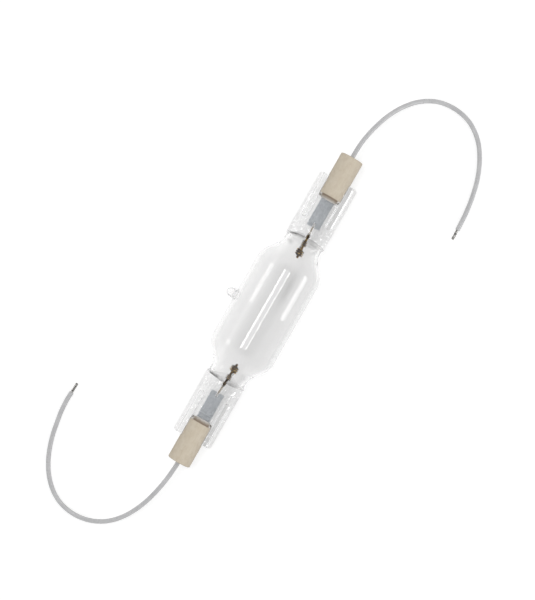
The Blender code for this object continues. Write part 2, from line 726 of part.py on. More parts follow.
def make_lead(side, end, route, parts, sheath, metal):
    """The insulated lead, and its stripped ends in the crimp and in the open."""
    points = smooth_route(route)
    wire(f"lead_cable_{side}", points, CABLE_RADIUS, parts, end, sheath)
    inner = [(CONDUCTOR_START_X, 0, 0), (CONDUCTOR_END_X, 0, 0)]
    wire(f"conductor_end_{side}", inner, CONDUCTOR_RADIUS, parts, end, metal)
    onward = (points[-1] - points[-2]).normalized()
    start = points[-1] + onward * CLEARANCE
    bare = [start + onward * BARE_END_LENGTH * share for share in (0, 0.5, 1)]
    wire(f"lead_tip_{side}", bare, CONDUCTOR_RADIUS, parts, end, metal)


clear_scene()
parts = make_collection("metal halide lamp")
cutters = make_collection("cutters")

quartz = make_material("quartz glass", (0.95, 0.96, 0.96), 0.02, transmission=1.0)
tungsten = make_material("tungsten", (0.20, 0.15, 0.08), 0.45, metallic=1.0)
molybdenum = make_material("molybdenum", (0.33, 0.36, 0.38), 0.5, metallic=0.8)
ceramic = make_material("ceramic", (0.58, 0.51, 0.40), 0.6)
cement = make_material("cement", (0.80, 0.78, 0.72), 0.9)
nickel = make_material("nickel", (0.60, 0.59, 0.57), 0.3, metallic=1.0)
sheath = make_material("lead sheath", (0.55, 0.55, 0.56), 0.5)

ends = {
    "left": add_empty("end left", parts, rotation=(0, 0, math.pi)),
    "right": add_empty("end right", parts),
}
leans = {"left": LEAN_LEFT_DEG, "right": LEAN_RIGHT_DEG}
routes = {"left": ROUTE_LEFT, "right": ROUTE_RIGHT}
electrode_axes = {}
for side, end in ends.items():
    weld = (ROD_END_X, 0, 0)
    lean = (0, 0, math.radians(leans[side]))
    electrode_axes[side] = add_empty(f"electrode axis {side}", parts, end, weld, lean)

make_tube(parts, cutters, quartz)
for side, end in ends.items():
    make_rod(side, parts, cutters, tungsten)
    make_head_coil(side, parts, tungsten)
    make_stem_coil(side, parts, tungsten)
    make_seal_coil(side, parts, tungsten)
    make_foil(side, end, parts, molybdenum)
    make_pin(side, end, parts, cutters, molybdenum)
    make_sleeve(side, end, parts, cutters, ceramic)
    make_cement(side, end, parts, cutters, cement)
    make_crimp(side, end, parts, nickel)
    make_lead(side, end, routes[side], parts, sheath, nickel)
bpy.context.view_layer.update()
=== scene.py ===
"""Looks of the double-ended metal halide lamp.

Metres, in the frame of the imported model: the lamp's axis is X, +Z is up, and the lamp lies on its cylinder.
Each end is described once, pointing along +X, and the left end is the same end turned half a turn about Z.
"""

import math

import bmesh
import bpy
import numpy as np
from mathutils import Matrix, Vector, noise


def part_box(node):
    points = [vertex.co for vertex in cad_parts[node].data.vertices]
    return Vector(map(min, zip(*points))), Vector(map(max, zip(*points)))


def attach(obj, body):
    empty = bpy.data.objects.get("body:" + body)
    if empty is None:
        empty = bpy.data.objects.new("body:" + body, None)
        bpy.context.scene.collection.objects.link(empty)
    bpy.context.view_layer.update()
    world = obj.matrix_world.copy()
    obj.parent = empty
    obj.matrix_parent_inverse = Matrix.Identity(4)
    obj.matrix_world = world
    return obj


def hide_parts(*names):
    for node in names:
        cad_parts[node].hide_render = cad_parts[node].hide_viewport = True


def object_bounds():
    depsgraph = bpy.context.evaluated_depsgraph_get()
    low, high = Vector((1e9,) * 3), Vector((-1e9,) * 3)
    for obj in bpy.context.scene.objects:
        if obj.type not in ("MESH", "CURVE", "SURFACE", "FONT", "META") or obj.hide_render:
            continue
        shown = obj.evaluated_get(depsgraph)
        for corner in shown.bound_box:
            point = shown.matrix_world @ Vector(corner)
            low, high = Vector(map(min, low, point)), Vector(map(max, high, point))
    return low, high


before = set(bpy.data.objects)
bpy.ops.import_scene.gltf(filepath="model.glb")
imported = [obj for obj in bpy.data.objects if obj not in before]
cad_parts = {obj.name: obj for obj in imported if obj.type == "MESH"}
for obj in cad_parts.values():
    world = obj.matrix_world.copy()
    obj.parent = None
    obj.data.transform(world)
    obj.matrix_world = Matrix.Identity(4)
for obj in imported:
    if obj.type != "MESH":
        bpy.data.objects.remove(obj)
cad_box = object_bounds()

MM = 0.001
SIDES = {"right": 1, "left": -1}

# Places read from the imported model
PINCH_END_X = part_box("quartz_tube")[1][0]
SLEEVE_LOW, SLEEVE_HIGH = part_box("ceramic_sleeve_right")
SLEEVE_MOUTH_X = SLEEVE_LOW[0]
SLEEVE_END_X = SLEEVE_HIGH[0]
FOIL_LOW, FOIL_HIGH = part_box("foil_right")
FOIL_Z = (FOIL_LOW[2] + FOIL_HIGH[2]) / 2
FLOOR_Z = cad_box[0][2]

# Quartz tube
BULB_RADIUS = 18.35 * MM
BULB_WALL = 1.9 * MM
CYLINDER_HALF_LENGTH = 23.5 * MM
SHOULDER_LENGTH = 17.3 * MM
SHOULDER_ROUND = 10.5 * MM
WAIST_RADIUS = 10.55 * MM
WAIST_ROUND = 11.0 * MM
WAIST_X = CYLINDER_HALF_LENGTH + SHOULDER_LENGTH
PINCH_EDGE_X = WAIST_X + 4.0 * MM
FLATTENING_START_X = PINCH_EDGE_X - 7.3 * MM
PINCH_WIDTH = 22.7 * MM
PINCH_THICKNESS = 4.4 * MM
PINCH_PLAN_CORNER = 1.8 * MM
PINCH_EDGE_ROUND = 1.2 * MM
PINCH_END_ROUND = 1.0 * MM
FOLD_BOW = 1.5 * MM
FOLD_REACH = 4.5 * MM

# Painted shade in the quartz, given as (y in mm, tone): it varies from -Y to +Y and is darker on the -Y side
BLOWN_PAINTED_SHADE = (
    (-17.6, 0.78), (-15.5, 0.88), (-6.0, 0.885), (0.0, 0.91), (7.0, 0.92), (9.5, 0.955), (14.0, 0.91),
)
PRESSED_PAINTED_SHADE = (
    (-11.3, 0.89), (-8.6, 0.87), (-6.4, 0.83), (-3.2, 0.76), (-1.0, 0.80),
    (2.0, 0.87), (5.0, 0.93), (8.5, 0.98), (11.3, 0.90),
)
PRESSED_X = (40.0 * MM, 44.5 * MM)

# Painted shade in the channels on -Y and +Y, and a painted highlight on the channel walls. The folds' corners
# and the filling tube are painted clearest, as painted light.
CHANNEL_PAINTED_SHADE = (0.74, 0.93)
CHANNEL_WALL_HIGHLIGHT = 0.28
CHANNEL_FLOOR_FADE = (0.6 * MM, 1.5 * MM)
CLEAR_TONE = 0.99
CLEAR_CORNER_X = WAIST_X + 1.5 * MM
CLEAR_CORNER_LENGTH = 3.0 * MM
CLEAR_CORNER_FADE = (6.5 * MM, 9.0 * MM)
CLEAR_STUB_FADE = (3.4 * MM, 4.8 * MM)

# Dark lines of painted shade across the folds, in mm: x at the axis, bow, from y, to y, darkness, half width
SHADE_LINE_REACH = 9.3
SHADE_LINE_FADE_IN = 1.0
SHADE_LINE_FADE_OUT = 0.5
SHADE_LINES = {
    "right": (
        (44.1, 1.55, -1.5, 9.4, 0.45, 0.33),
        (44.1, 1.55, 5.0, 9.4, 0.60, 0.33),
        (45.2, 1.55, 2.0, 7.0, 0.30, 0.33),
        (42.3, 1.0, -9.0, -3.0, 0.20, 0.30),
        (40.8, 1.0, -9.0, -2.5, 0.20, 0.30),
    ),
    "left": (
        (43.7, 0.5, 4.2, 9.4, 0.75, 0.40),
        (44.0, 1.6, -8.8, 4.0, 0.22, 0.30),
    ),
}

# Patches of painted shade in the walls, in mm: x, y, half length, half width, darkness
SHADE_PATCHES = (
    (16.0, -4.8, 9.0, 2.2, 0.08),
    (38.5, 7.0, 0.9, 1.2, 0.22),
    (38.8, -7.2, 0.8, 0.6, 0.18),
    (-41.1, 6.9, 0.5, 0.5, 0.18),
    (-37.4, -8.3, 1.2, 1.8, 0.15),
)

# Channels pressed into the pinch, and the share of the half height over which its faces begin
CHANNEL_WIDTH = 3.9 * MM
CHANNEL_DEPTH = 0.9 * MM
CHANNEL_LENGTH = 26.2 * MM
CHANNEL_Y = PINCH_WIDTH / 2 - 1.85 * MM - CHANNEL_WIDTH / 2
CHANNEL_WALL_HALF = 0.6 * MM
CHANNEL_SOFTNESS = 0.2
FACE_SHARES = (0.75, 1.0)

# How far pressing and drawing left the quartz uneven, over what length, and where it is calmer over the foil
PRESS_WAVE = 0.16 * MM
PRESS_WAVE_LENGTH = 2.4 * MM
PRESS_SEED = 9.0
CALM_OVER_FOIL = 0.6
CALM_Y = (3.5 * MM, 5.5 * MM)
CALM_X = (48.0 * MM, 50.0 * MM)
DRAWN_WAVE = 0.004 * MM
DRAWN_WAVE_LENGTH = 7.0 * MM
INNER_WALL_SEED = 31.0

# Sealed-off filling tube, with the narrow bore that is left in it
TIP_OFF_X = -0.6 * MM
TIP_OFF_HEIGHT = 4.8 * MM
TIP_OFF_RADIUS = 2.5 * MM
TIP_OFF_FLARE = 1.6 * MM
TIP_OFF_RISE_DEG = 12.0
TIP_OFF_COLUMNS = 8
TIP_OFF_REACH = 5.2 * MM
BORE_RADIUS = 1.75 * MM
BORE_FLARE = 1.5 * MM
BORE_HEIGHT = 5.9 * MM
BORE_COLUMNS = 4
BORE_REACH = 4.2 * MM

# Arc chamber's end, and the narrow room that the quartz leaves round the electrode's shank
CHAMBER_END_X = PINCH_EDGE_X - 0.2 * MM
CHAMBER_NOSE = 1.2 * MM
CORNER_WALL = 0.9 * MM
CHAMBER_END_ROUND = 0.5 * MM
WEDGE_HALF_HEIGHT = 0.45 * MM
ROOM_START_X = (WAIST_X - 2 * MM, WAIST_X + 1 * MM)
ROOM_BLEND_POWER = 6
SEAL_ROOM_RADIUS = 1.62 * MM
SEAL_ROOM_END_X = 46.3 * MM
SEAL_ROOM_CLOSING = 0.6 * MM
SHANK_ROOM_RADIUS = 0.83 * MM
SHANK_ROOM_END_X = 53.7 * MM
ROOM_SEED = 0.02 * MM

# Electrodes
WELD_X = 53.2 * MM
LEAN_DEG = {"right": 2.0, "left": -3.8}
ROD_TIP_X = 32.1 * MM
ROD_RADIUS = 0.7 * MM
ROD_CHAMFER = 0.25 * MM
ROD_FOOT_SLOPE = 0.3 * MM
WIRE_RADIUS = 0.325 * MM
INNER_COIL_RADIUS = 1.275 * MM
HEAD_COIL_X = 33.8 * MM
HEAD_COIL_PITCH = 1.15 * MM
HEAD_COIL_TURNS = 3
HEAD_LAYER_STEP = 0.73 * MM
HEAD_STEP_TURNS = 0.3
STEM_COIL_X = 38.35 * MM
STEM_COIL_PITCH = 1.15 * MM
STEM_COIL_TURNS = 3
SEAL_WIRE_RADIUS = 0.2 * MM
SEAL_COIL_RADIUS = 1.15 * MM
SEAL_COIL_X = 45.72 * MM
SEAL_COIL_PITCH = 0.48 * MM
SEAL_COIL_TURNS = 4
SHANK_PALES_X = (46.8 * MM, 47.8 * MM)
WELD_HIGHLIGHT_X = (50.9 * MM, 51.4 * MM)

# Foils
FOIL_THICKNESS = 0.1 * MM
FOIL_EDGE_THICKNESS = 0.02 * MM
FOIL_FEATHER = 0.8 * MM
FOIL_CRINKLE = 0.03 * MM
FOIL_CRINKLE_LENGTH = 1.8 * MM
FOIL_CREASE_X = 64.4 * MM
FOIL_CREASE_HEIGHT = 0.15 * MM
FOIL_CREASE_WIDTH = 0.22 * MM
FOIL_EDGE_WAVE = 0.012
FOIL_EDGE_WAVE_LENGTH = 1.5 * MM
FOIL_EDGES_APART = 9.0 * MM

# Ceramic sleeves and cement
SLEEVE_RADIUS = 6.5 * MM
SLEEVE_ROUND = 0.7 * MM
SLEEVE_EDGE = 0.22 * MM
SLEEVE_BORE_RADIUS = 4.9 * MM
SLEEVE_HOLE_RADIUS = 1.55 * MM
SLEEVE_SLOT_HALF = 2.5 * MM
SLOT_END_X = PINCH_END_X + 0.3 * MM
CEMENT_END_X = 87.95 * MM
BEAD_LENGTH = 2.4 * MM
BEAD_MOUTH_RADIUS = 6.25 * MM
BEAD_FRONT_RADIUS = 4.3 * MM
BEAD_ROUNDNESS = 1.4
BEAD_BORE_RADIUS = 1.9 * MM
BEAD_UNEVENNESS = 0.12 * MM
BEAD_WAVE_LENGTH = 2.4 * MM
BEAD_SWELL = 1.5
# Where the cement's painted shade gives way to its sides painted pale
PAINTED_SIDE_LIGHT_FADE = (4.3 * MM, 5.5 * MM)
TOUCH = 0.02 * MM

# Mesh attributes: the quartz's painted shade, and 1 on the outside of a wire's turns and 0 between them,
# which paints shade between the turns
QUARTZ_SHADE = "tone"
CREST = "crest"
CREST_SHARES = (0.5, 1.0)
BARE_ROD_CREST = 0.5
WOUND_FADE = (-0.3 * MM, 0.1 * MM)

# Leads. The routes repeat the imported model's, as offsets from the middle of the sleeve's outer face.
LEAD_RADIUS = 1.25 * MM
LEAD_EDGE = 0.12 * MM
LEAD_START_X = 88.55 * MM
STRAND_RINGS = (1, 6, 12)
STRAND_RADIUS = 0.15 * MM
STRAND_SPACING = 1.01
STRAND_LAY = 17.0 * MM
INNER_LAY_GAIN = 1.15
STRAND_TUCK = 0.5 * MM
STRAND_UNEVENNESS = 0.12 * MM
STRAND_END_WAVE = 1.7
BARE_LENGTH = 5.8 * MM
ROUTES = {
    "right": (
        (0.0010, 0.0001, 0.0), (0.0080, -0.0001, -0.0001), (0.0144, -0.0010, -0.0005),
        (0.0208, -0.0025, -0.0016), (0.0271, -0.0045, -0.0034), (0.0332, -0.0072, -0.0058),
        (0.0390, -0.0107, -0.0084), (0.0442, -0.0150, -0.0110), (0.0484, -0.0204, -0.0134),
        (0.0512, -0.0264, -0.0153), (0.0523, -0.0329, -0.0165), (0.0519, -0.0394, -0.01695),
        (0.0500, -0.0456, -0.0170), (0.0465, -0.0512, -0.0170), (0.0420, -0.0559, -0.0170),
        (0.0366, -0.0596, -0.0170), (0.0308, -0.0626, -0.0170), (0.0247, -0.0649, -0.0170),
        (0.0184, -0.0665, -0.0170), (0.0120, -0.0677, -0.0170), (0.0055, -0.0685, -0.0170),
        (-0.0010, -0.0689, -0.0170), (-0.0042, -0.0690, -0.0170),
    ),
    "left": (
        (0.0010, -0.0001, 0.0), (0.0082, -0.0006, -0.0001), (0.0146, -0.0015, -0.0005),
        (0.0210, -0.0028, -0.0016), (0.0274, -0.0046, -0.0034), (0.0337, -0.0071, -0.0058),
        (0.0397, -0.0103, -0.0084), (0.0451, -0.0144, -0.0110), (0.0496, -0.0195, -0.0134),
        (0.0527, -0.0254, -0.0153), (0.0543, -0.0318, -0.0165), (0.0543, -0.0383, -0.01695),
        (0.0528, -0.0447, -0.0170), (0.0497, -0.0505, -0.0170), (0.0454, -0.0554, -0.0170),
        (0.0403, -0.0594, -0.0170), (0.0345, -0.0626, -0.0170), (0.0285, -0.0650, -0.0170),
        (0.0222, -0.0668, -0.0170), (0.0158, -0.0680, -0.0170), (0.0094, -0.0690, -0.0170),
        (0.0029, -0.0694, -0.0170), (-0.0024, -0.0692, -0.0170),
    ),
}

# Fineness of the meshes, and the angles from which their edges are sharp
SHARP_DEG = 40.0
ROUND_SHARP_DEG = 50.0
LEAD_SHARP_DEG = 30.0
EDGE_SEGMENTS = 3
TUBE_COLUMNS = 192
CHAMBER_COLUMNS = 96
BULB_STEP = 1.0 * MM
SHOULDER_STEP = 0.5 * MM
FOLD_STEP = 0.25 * MM
FOLD_FINE_END_X = PINCH_EDGE_X + 1.5 * MM
ROOM_FINE_END_X = SEAL_ROOM_END_X + 1.0 * MM
PINCH_STEP = 0.33 * MM
ROUND_STEPS = 8
LATHE_STEPS = 96
ROD_STEPS = 32
ROD_STEP = 0.5 * MM
COIL_STEPS = 28
WIRE_SIDES = 14
FOIL_COLUMNS = 14
FOIL_STEP = 0.25 * MM
LEAD_SIDES = 28
ROUTE_SUBSTEPS = 10
STRAND_STEPS = 24
STRAND_SIDES = 10

# Where a round end's last ring lies, in degrees from its rim, before a point or strips close it
STUB_ROUND_DEG = 84
ROOM_ROUND_DEG = 80

# A slanted direction that no wire starts along
SLANTED_WAY = (0.13, 0.21, 0.97)

# Camera: straight above the lamp, as in the photograph
CAMERA_HEIGHT = 1.0
CAMERA_X = 5.2 * MM
CAMERA_Y = 1.7 * MM
CAMERA_TURN_DEG = -60.23
VIEW_HEIGHT = 320.6 * MM
SENSOR_MM = 36.0

# Studio: the floor's size and colours, and the sky's strength from the lower to the upper height
FLOOR_SIZE = 3.0
FLOOR_SEEN = (0.60, 0.60, 0.60)
FLOOR_GLOW = 0.53
FLOOR_PLAIN = (0.40, 0.40, 0.40)
SKY_HEIGHTS = (0.55, 0.97)
SKY_STRENGTHS = (0.84, 0.24)
BOUNCES = 96

# Lights: name, tilt in degrees from overhead towards -Y, distance, length, width, x, radiance, has a streak
LIGHTS = (
    ("strip overhead", -9.8, 1.0, 0.16, 0.088, -5 * MM, 6.0, True),
    ("strip low", 69.0, 0.8, 0.34, 0.24, 165 * MM, 2.8, True),
    ("key", -7.0, 1.0, 0.35, 0.35, 0.0, 6.0, False),
)


def smoothstep(low, high, value):
    share = np.clip((value - low) / (high - low), 0.0, 1.0)
    return share * share * (3 - 2 * share)


def add_object(name, data):
    thing = bpy.data.objects.new(name, data)
    bpy.context.scene.collection.objects.link(thing)
    return thing


def add_piece(name, mesh, material, node):
    """A piece of the lamp, shaded smooth, riding on the lamp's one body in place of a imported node."""
    mesh.name = name
    mesh.materials.clear()
    mesh.materials.append(material)
    piece = add_object(name, mesh)
    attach(piece, "root")
    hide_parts(node)
    return piece


def finished_mesh(shape, sharp_deg=SHARP_DEG):
    """A mesh from a bmesh, with its faces pointing out, smooth except at sharp edges."""
    bmesh.ops.recalc_face_normals(shape, faces=shape.faces)
    mesh = bpy.data.meshes.new("mesh")
    shape.to_mesh(mesh)
    shape.free()
    mesh.shade_smooth()
    mesh.set_sharp_from_angle(angle=math.radians(sharp_deg))
    return mesh


def at_end(side, points):
    """Points of an end that is described along +X, put at that side of the lamp."""
    return np.array(points) * (SIDES[side], SIDES[side], 1)


def on_electrode(side, points):
    """Points of an upright electrode, leaned about its weld as the real one leans."""
    lean = math.radians(LEAN_DEG[side])
    points = np.array(points) - (WELD_X, 0, 0)
    x = points[:, 0] * math.cos(lean) - points[:, 1] * math.sin(lean)
    y = points[:, 0] * math.sin(lean) + points[:, 1] * math.cos(lean)
    return at_end(side, np.column_stack((x + WELD_X, y, points[:, 2])))


def skin(shape, rings, closed=False):
    """Quads between rings of equal counts. Closed joins the last ring to the first."""
    rows = [[shape.verts.new(point) for point in ring] for ring in rings]
    pairs = list(zip(rows, rows[1:]))
    if closed:
        pairs.append((rows[-1], rows[0]))
    for row, after in pairs:
        for i in range(len(row)):
            j = (i + 1) % len(row)
            shape.faces.new((row[i], row[j], after[j], after[i]))
    return rows


def lathe_rings(profile, steps):
    """Rings about X through (along, radius) points."""
    angles = [2 * math.pi * i / steps for i in range(steps)]
    return [[(x, r * math.cos(a), r * math.sin(a)) for a in angles] for x, r in profile]


def tube_rings(path, radii, sides):
    """Rings of a round tube along the path, turned as little as possible from one to the next."""
    path = np.array(path)
    tangents = np.gradient(path, axis=0)
    tangents /= np.linalg.norm(tangents, axis=1)[:, None]
    side_way = np.cross(tangents[0], SLANTED_WAY)
    rings = []
    for place, tangent, radius in zip(path, tangents, radii):
        side_way = side_way - tangent * side_way.dot(tangent)
        side_way /= np.linalg.norm(side_way)
        other_way = np.cross(tangent, side_way)
        angles = np.arange(sides) * 2 * math.pi / sides
        ring = place + radius * (np.outer(np.cos(angles), side_way) + np.outer(np.sin(angles), other_way))
        rings.append(ring)
    return rings


def add_tube(shape, path, radius, sides, edge=0.0):
    """A round wire along the path, with its cut ends chamfered by edge."""
    path = np.array(path)
    radii = np.full(len(path), radius)
    if edge:
        first = path[0] + (path[1] - path[0]) * edge / np.linalg.norm(path[1] - path[0])
        last = path[-1] + (path[-2] - path[-1]) * edge / np.linalg.norm(path[-2] - path[-1])
        path = np.vstack((path[:1], [first], path[1:-1], [last], path[-1:]))
        radii = np.concatenate(([radius - edge], np.full(len(path) - 2, radius), [radius - edge]))
    rows = skin(shape, tube_rings(path, radii, sides))
    shape.faces.new(rows[0])
    shape.faces.new(rows[-1])


def arc(start_deg, end_deg, steps):
    return [math.radians(start_deg + (end_deg - start_deg) * i / steps) for i in range(steps + 1)]


def wobble(x, y, z, length, seed=0.0):
    """Smooth unevenness from -1 to 1 that varies over the length."""
    return noise.noise(Vector((x / length + seed, y / length, z / length)))


def boxed_out(mesh, low, high, bevel=0.0):
    """The mesh with a box cut from it, and its sharp edges eased."""
    shape = bmesh.new()
    bmesh.ops.create_cube(shape, size=1.0)
    bmesh.ops.scale(shape, vec=Vector(high) - Vector(low), verts=shape.verts)
    bmesh.ops.translate(shape, vec=(Vector(high) + Vector(low)) / 2, verts=shape.verts)
    cutter = add_object("cutter", finished_mesh(shape))
    piece = add_object("cut", mesh)
    boolean = piece.modifiers.new("slot", "BOOLEAN")
    boolean.object = cutter
    boolean.solver = "EXACT"
    if bevel:
        ease = piece.modifiers.new("edges", "BEVEL")
        ease.width = bevel
        ease.segments = EDGE_SEGMENTS
        ease.limit_method = "ANGLE"
        ease.angle_limit = math.radians(SHARP_DEG)
    bpy.context.view_layer.update()
    evaluated = piece.evaluated_get(bpy.context.evaluated_depsgraph_get())
    result = bpy.data.meshes.new_from_object(evaluated)
    for thing in (cutter, piece):
        bpy.data.objects.remove(thing, do_unlink=True)
    result.shade_smooth()
    result.set_sharp_from_angle(angle=math.radians(SHARP_DEG))
    return result


def feed(value, socket):
    """Sets a socket to a number or colour, or links it to another node's output."""
    if isinstance(value, bpy.types.NodeSocket):
        socket.id_data.links.new(value, socket)
    else:
        socket.default_value = (*value, 1) if socket.type == "RGBA" else value


def add_node(owner, kind, inputs=None, **settings):
    """A node of a material or world, with its inputs given by name or number."""
    node = owner.node_tree.nodes.new(kind)
    for key, value in settings.items():
        setattr(node, key, value)
    for key, value in (inputs or {}).items():
        feed(value, node.inputs[key])
    return node


def new_material(name, roughness, metallic=0.0):
    material = bpy.data.materials.new(name)
    material.use_nodes = True
    shader = material.node_tree.nodes["Principled BSDF"]
    shader.inputs["Roughness"].default_value = roughness
    shader.inputs["Metallic"].default_value = metallic
    return material, shader


def calculate(owner, operation, *values):
    return add_node(owner, "ShaderNodeMath", dict(enumerate(values)), operation=operation).outputs[0]


def off_middle(material, axis):
    """Distance from the lamp's middle along this axis, in metres."""
    place = add_node(material, "ShaderNodeTexCoord").outputs["Object"]
    split = add_node(material, "ShaderNodeSeparateXYZ", {0: place})
    return calculate(material, "ABSOLUTE", split.outputs[axis])


def noise_value(material, size, detail=3.0, stretch=(1, 1, 1)):
    """Noise whose features are about this size, in metres, with each axis times its stretch."""
    place = add_node(material, "ShaderNodeTexCoord").outputs["Object"]
    scaled = add_node(material, "ShaderNodeVectorMath", {0: place, 1: stretch}, operation="MULTIPLY")
    inputs = {"Vector": scaled.outputs[0], "Scale": 1 / size, "Detail": detail}
    return add_node(material, "ShaderNodeTexNoise", inputs).outputs["Fac"]


def ramp(material, value, *stops):
    """Colours along a value from 0 to 1."""
    node = add_node(material, "ShaderNodeValToRGB", {"Fac": value})
    elements = node.color_ramp.elements
    while len(elements) < len(stops):
        elements.new(0.5)
    for element, (position, colour) in zip(elements, stops):
        element.position = position
        element.color = (*colour, 1)
    return node.outputs["Color"]


def grey_ramp(material, value, low, high, low_grey, high_grey):
    """Greys that run from one to the other between two values."""
    return ramp(material, value, (low, (low_grey,) * 3), (high, (high_grey,) * 3))


def remap(owner, value, low, high, to_low, to_high, **settings):
    inputs = {"Value": value, "From Min": low, "From Max": high, "To Min": to_low, "To Max": to_high}
    return add_node(owner, "ShaderNodeMapRange", inputs, **settings).outputs["Result"]


def mix(material, factor, first, second, blend="MIX"):
    inputs = {0: factor, 6: first, 7: second}
    return add_node(material, "ShaderNodeMix", inputs, data_type="RGBA", blend_type=blend).outputs[2]


def blend_shaders(owner, factor, first, second):
    return add_node(owner, "ShaderNodeMixShader", {0: factor, 1: first, 2: second}).outputs[0]


def vary_roughness(material, shader, size, low, high):
    feed(remap(material, noise_value(material, size), 0.3, 0.7, low, high), shader.inputs["Roughness"])


def bump(material, shader, height, distance, strength):
    inputs = {"Strength": strength, "Distance": distance, "Height": height}
    feed(add_node(material, "ShaderNodeBump", inputs).outputs["Normal"], shader.inputs["Normal"])


def make_quartz():
    """Clear quartz. Lamps and diffuse light pass it straight, so that what it holds is lit."""
    material, shader = new_material("quartz", 0.0)
    shader.inputs["Transmission Weight"].default_value = 1.0
    shader.inputs["IOR"].default_value = 1.458
    pressed = remap(material, off_middle(material, "X"), *PRESSED_X, 0.0, 1.0)
    mottle = grey_ramp(material, noise_value(material, 0.8 * MM, 4.0, (0.5, 1, 1)), 0.35, 0.62, 0.86, 1.0)
    # The base colour carries the quartz's painted shade from a mesh attribute.
    tone = add_node(material, "ShaderNodeAttribute", attribute_name=QUARTZ_SHADE).outputs["Fac"]
    body = mix(material, tone, (0.0, 0.0, 0.0), (1.0, 0.998, 0.997))
    feed(mix(material, pressed, body, mottle, "MULTIPLY"), shader.inputs["Base Color"])
    rays = add_node(material, "ShaderNodeLightPath").outputs
    straight = calculate(material, "MAXIMUM", rays["Is Shadow Ray"], rays["Is Diffuse Ray"])
    colour = mix(material, pressed, (0.90, 0.90, 0.90), (0.80, 0.80, 0.80))
    clear = add_node(material, "ShaderNodeBsdfTransparent", {"Color": colour})
    surface = blend_shaders(material, straight, shader.outputs[0], clear.outputs[0])
    feed(surface, material.node_tree.nodes["Material Output"].inputs["Surface"])
    return material


def make_tungsten():
    """Fired tungsten: golden brown on the turns' outside, painted shade nearly black between them, a painted
    highlight at the weld.
    """
    material, shader = new_material("tungsten", 0.5)
    shader.inputs["Specular IOR Level"].default_value = 0.1
    tarnish = ramp(
        material,
        noise_value(material, 1.2 * MM, 4.0),
        (0.43, (0.06, 0.026, 0.004)),
        (0.51, (0.28, 0.14, 0.025)),
        (0.60, (0.92, 0.62, 0.20)),
    )
    crest = add_node(material, "ShaderNodeAttribute", attribute_name=CREST).outputs["Fac"]
    # Painted shade: near black between the wire's turns and on the rod under them.
    shaded_turns = mix(material, crest, (0.010, 0.005, 0.002), tarnish)
    sealed = remap(material, off_middle(material, "X"), *SHANK_PALES_X, 0.0, 1.0)
    shank = mix(material, sealed, shaded_turns, mix(material, 0.85, tarnish, (0.92, 0.85, 0.74)))
    # Painted highlight: the rod's foot at the weld is painted near white and not metallic.
    weld = remap(material, off_middle(material, "X"), *WELD_HIGHLIGHT_X, 0.0, 1.0)
    feed(mix(material, weld, shank, (0.96, 0.96, 0.95)), shader.inputs["Base Color"])
    feed(remap(material, weld, 0.0, 1.0, 0.4, 0.0), shader.inputs["Metallic"])
    vary_roughness(material, shader, 0.5 * MM, 0.34, 0.60)
    bump(material, shader, noise_value(material, 0.12 * MM, 2.0), 0.02 * MM, 0.5)
    return material


def make_molybdenum():
    """Foil: dull blue-grey, faintly blotched, with fine rolling lines along its length."""
    material, shader = new_material("molybdenum", 0.5, 0.6)
    blotches = ramp(
        material,
        noise_value(material, 1.6 * MM, 5.0),
        (0.32, (0.66, 0.695, 0.73)),
        (0.68, (0.80, 0.835, 0.87)),
    )
    rolled = noise_value(material, 0.25 * MM, 2.0, (0.08, 1, 1))
    streaks = grey_ramp(material, rolled, 0.3, 0.7, 0.2, 0.9)
    feed(mix(material, 0.16, blotches, streaks, "OVERLAY"), shader.inputs["Base Color"])
    vary_roughness(material, shader, 0.8 * MM, 0.4, 0.62)
    bump(material, shader, rolled, 0.02 * MM, 0.6)
    return material


def make_ceramic():
    """Unglazed cream ceramic: fine grain, pale blotches and a few tiny dark specks."""
    material, shader = new_material("ceramic", 0.62)
    body = ramp(
        material,
        noise_value(material, 2.2 * MM, 5.0),
        (0.3, (0.585, 0.510, 0.398)),
        (0.5, (0.614, 0.540, 0.430)),
        (0.7, (0.642, 0.570, 0.462)),
    )
    drawn = grey_ramp(material, noise_value(material, 0.9 * MM, 3.0, (0.25, 1, 1)), 0.3, 0.7, 0.46, 0.54)
    grained = mix(material, 0.6, body, drawn, "OVERLAY")
    specks = grey_ramp(material, noise_value(material, 0.35 * MM, 1.0), 0.22, 0.27, 1.0, 0.0)
    feed(mix(material, specks, grained, (0.40, 0.33, 0.25)), shader.inputs["Base Color"])
    vary_roughness(material, shader, 0.7 * MM, 0.52, 0.74)
    bump(material, shader, noise_value(material, 0.22 * MM, 4.0), 0.05 * MM, 0.45)
    return material


def make_cement():
    """Cement: painted shade, dark brown where it meets the ceramic and paling to its front edge; its sides
    painted pale, as painted light.
    """
    material, shader = new_material("cement", 0.85)
    uneven = remap(material, noise_value(material, 1.1 * MM, 4.0), 0.0, 1.0, -0.5 * MM, 0.5 * MM)
    place = calculate(material, "ADD", off_middle(material, "X"), uneven)
    # Painted shade: darker towards the ceramic's mouth, paler towards the bead's front.
    tone = ramp(
        material,
        remap(material, place, SLEEVE_MOUTH_X - BEAD_LENGTH, SLEEVE_MOUTH_X, 0.0, 1.0),
        (0.0, (0.70, 0.67, 0.64)),
        (0.16, (0.58, 0.55, 0.51)),
        (0.4, (0.42, 0.37, 0.31)),
        (0.75, (0.27, 0.21, 0.16)),
    )
    # Painted light: the cement's sides are painted pale against their shade.
    sides = remap(material, off_middle(material, "Y"), *PAINTED_SIDE_LIGHT_FADE, 0.0, 1.0)
    feed(mix(material, sides, tone, (0.90, 0.88, 0.85)), shader.inputs["Base Color"])
    bump(material, shader, noise_value(material, 0.3 * MM, 5.0), 0.12 * MM, 0.6)
    return material


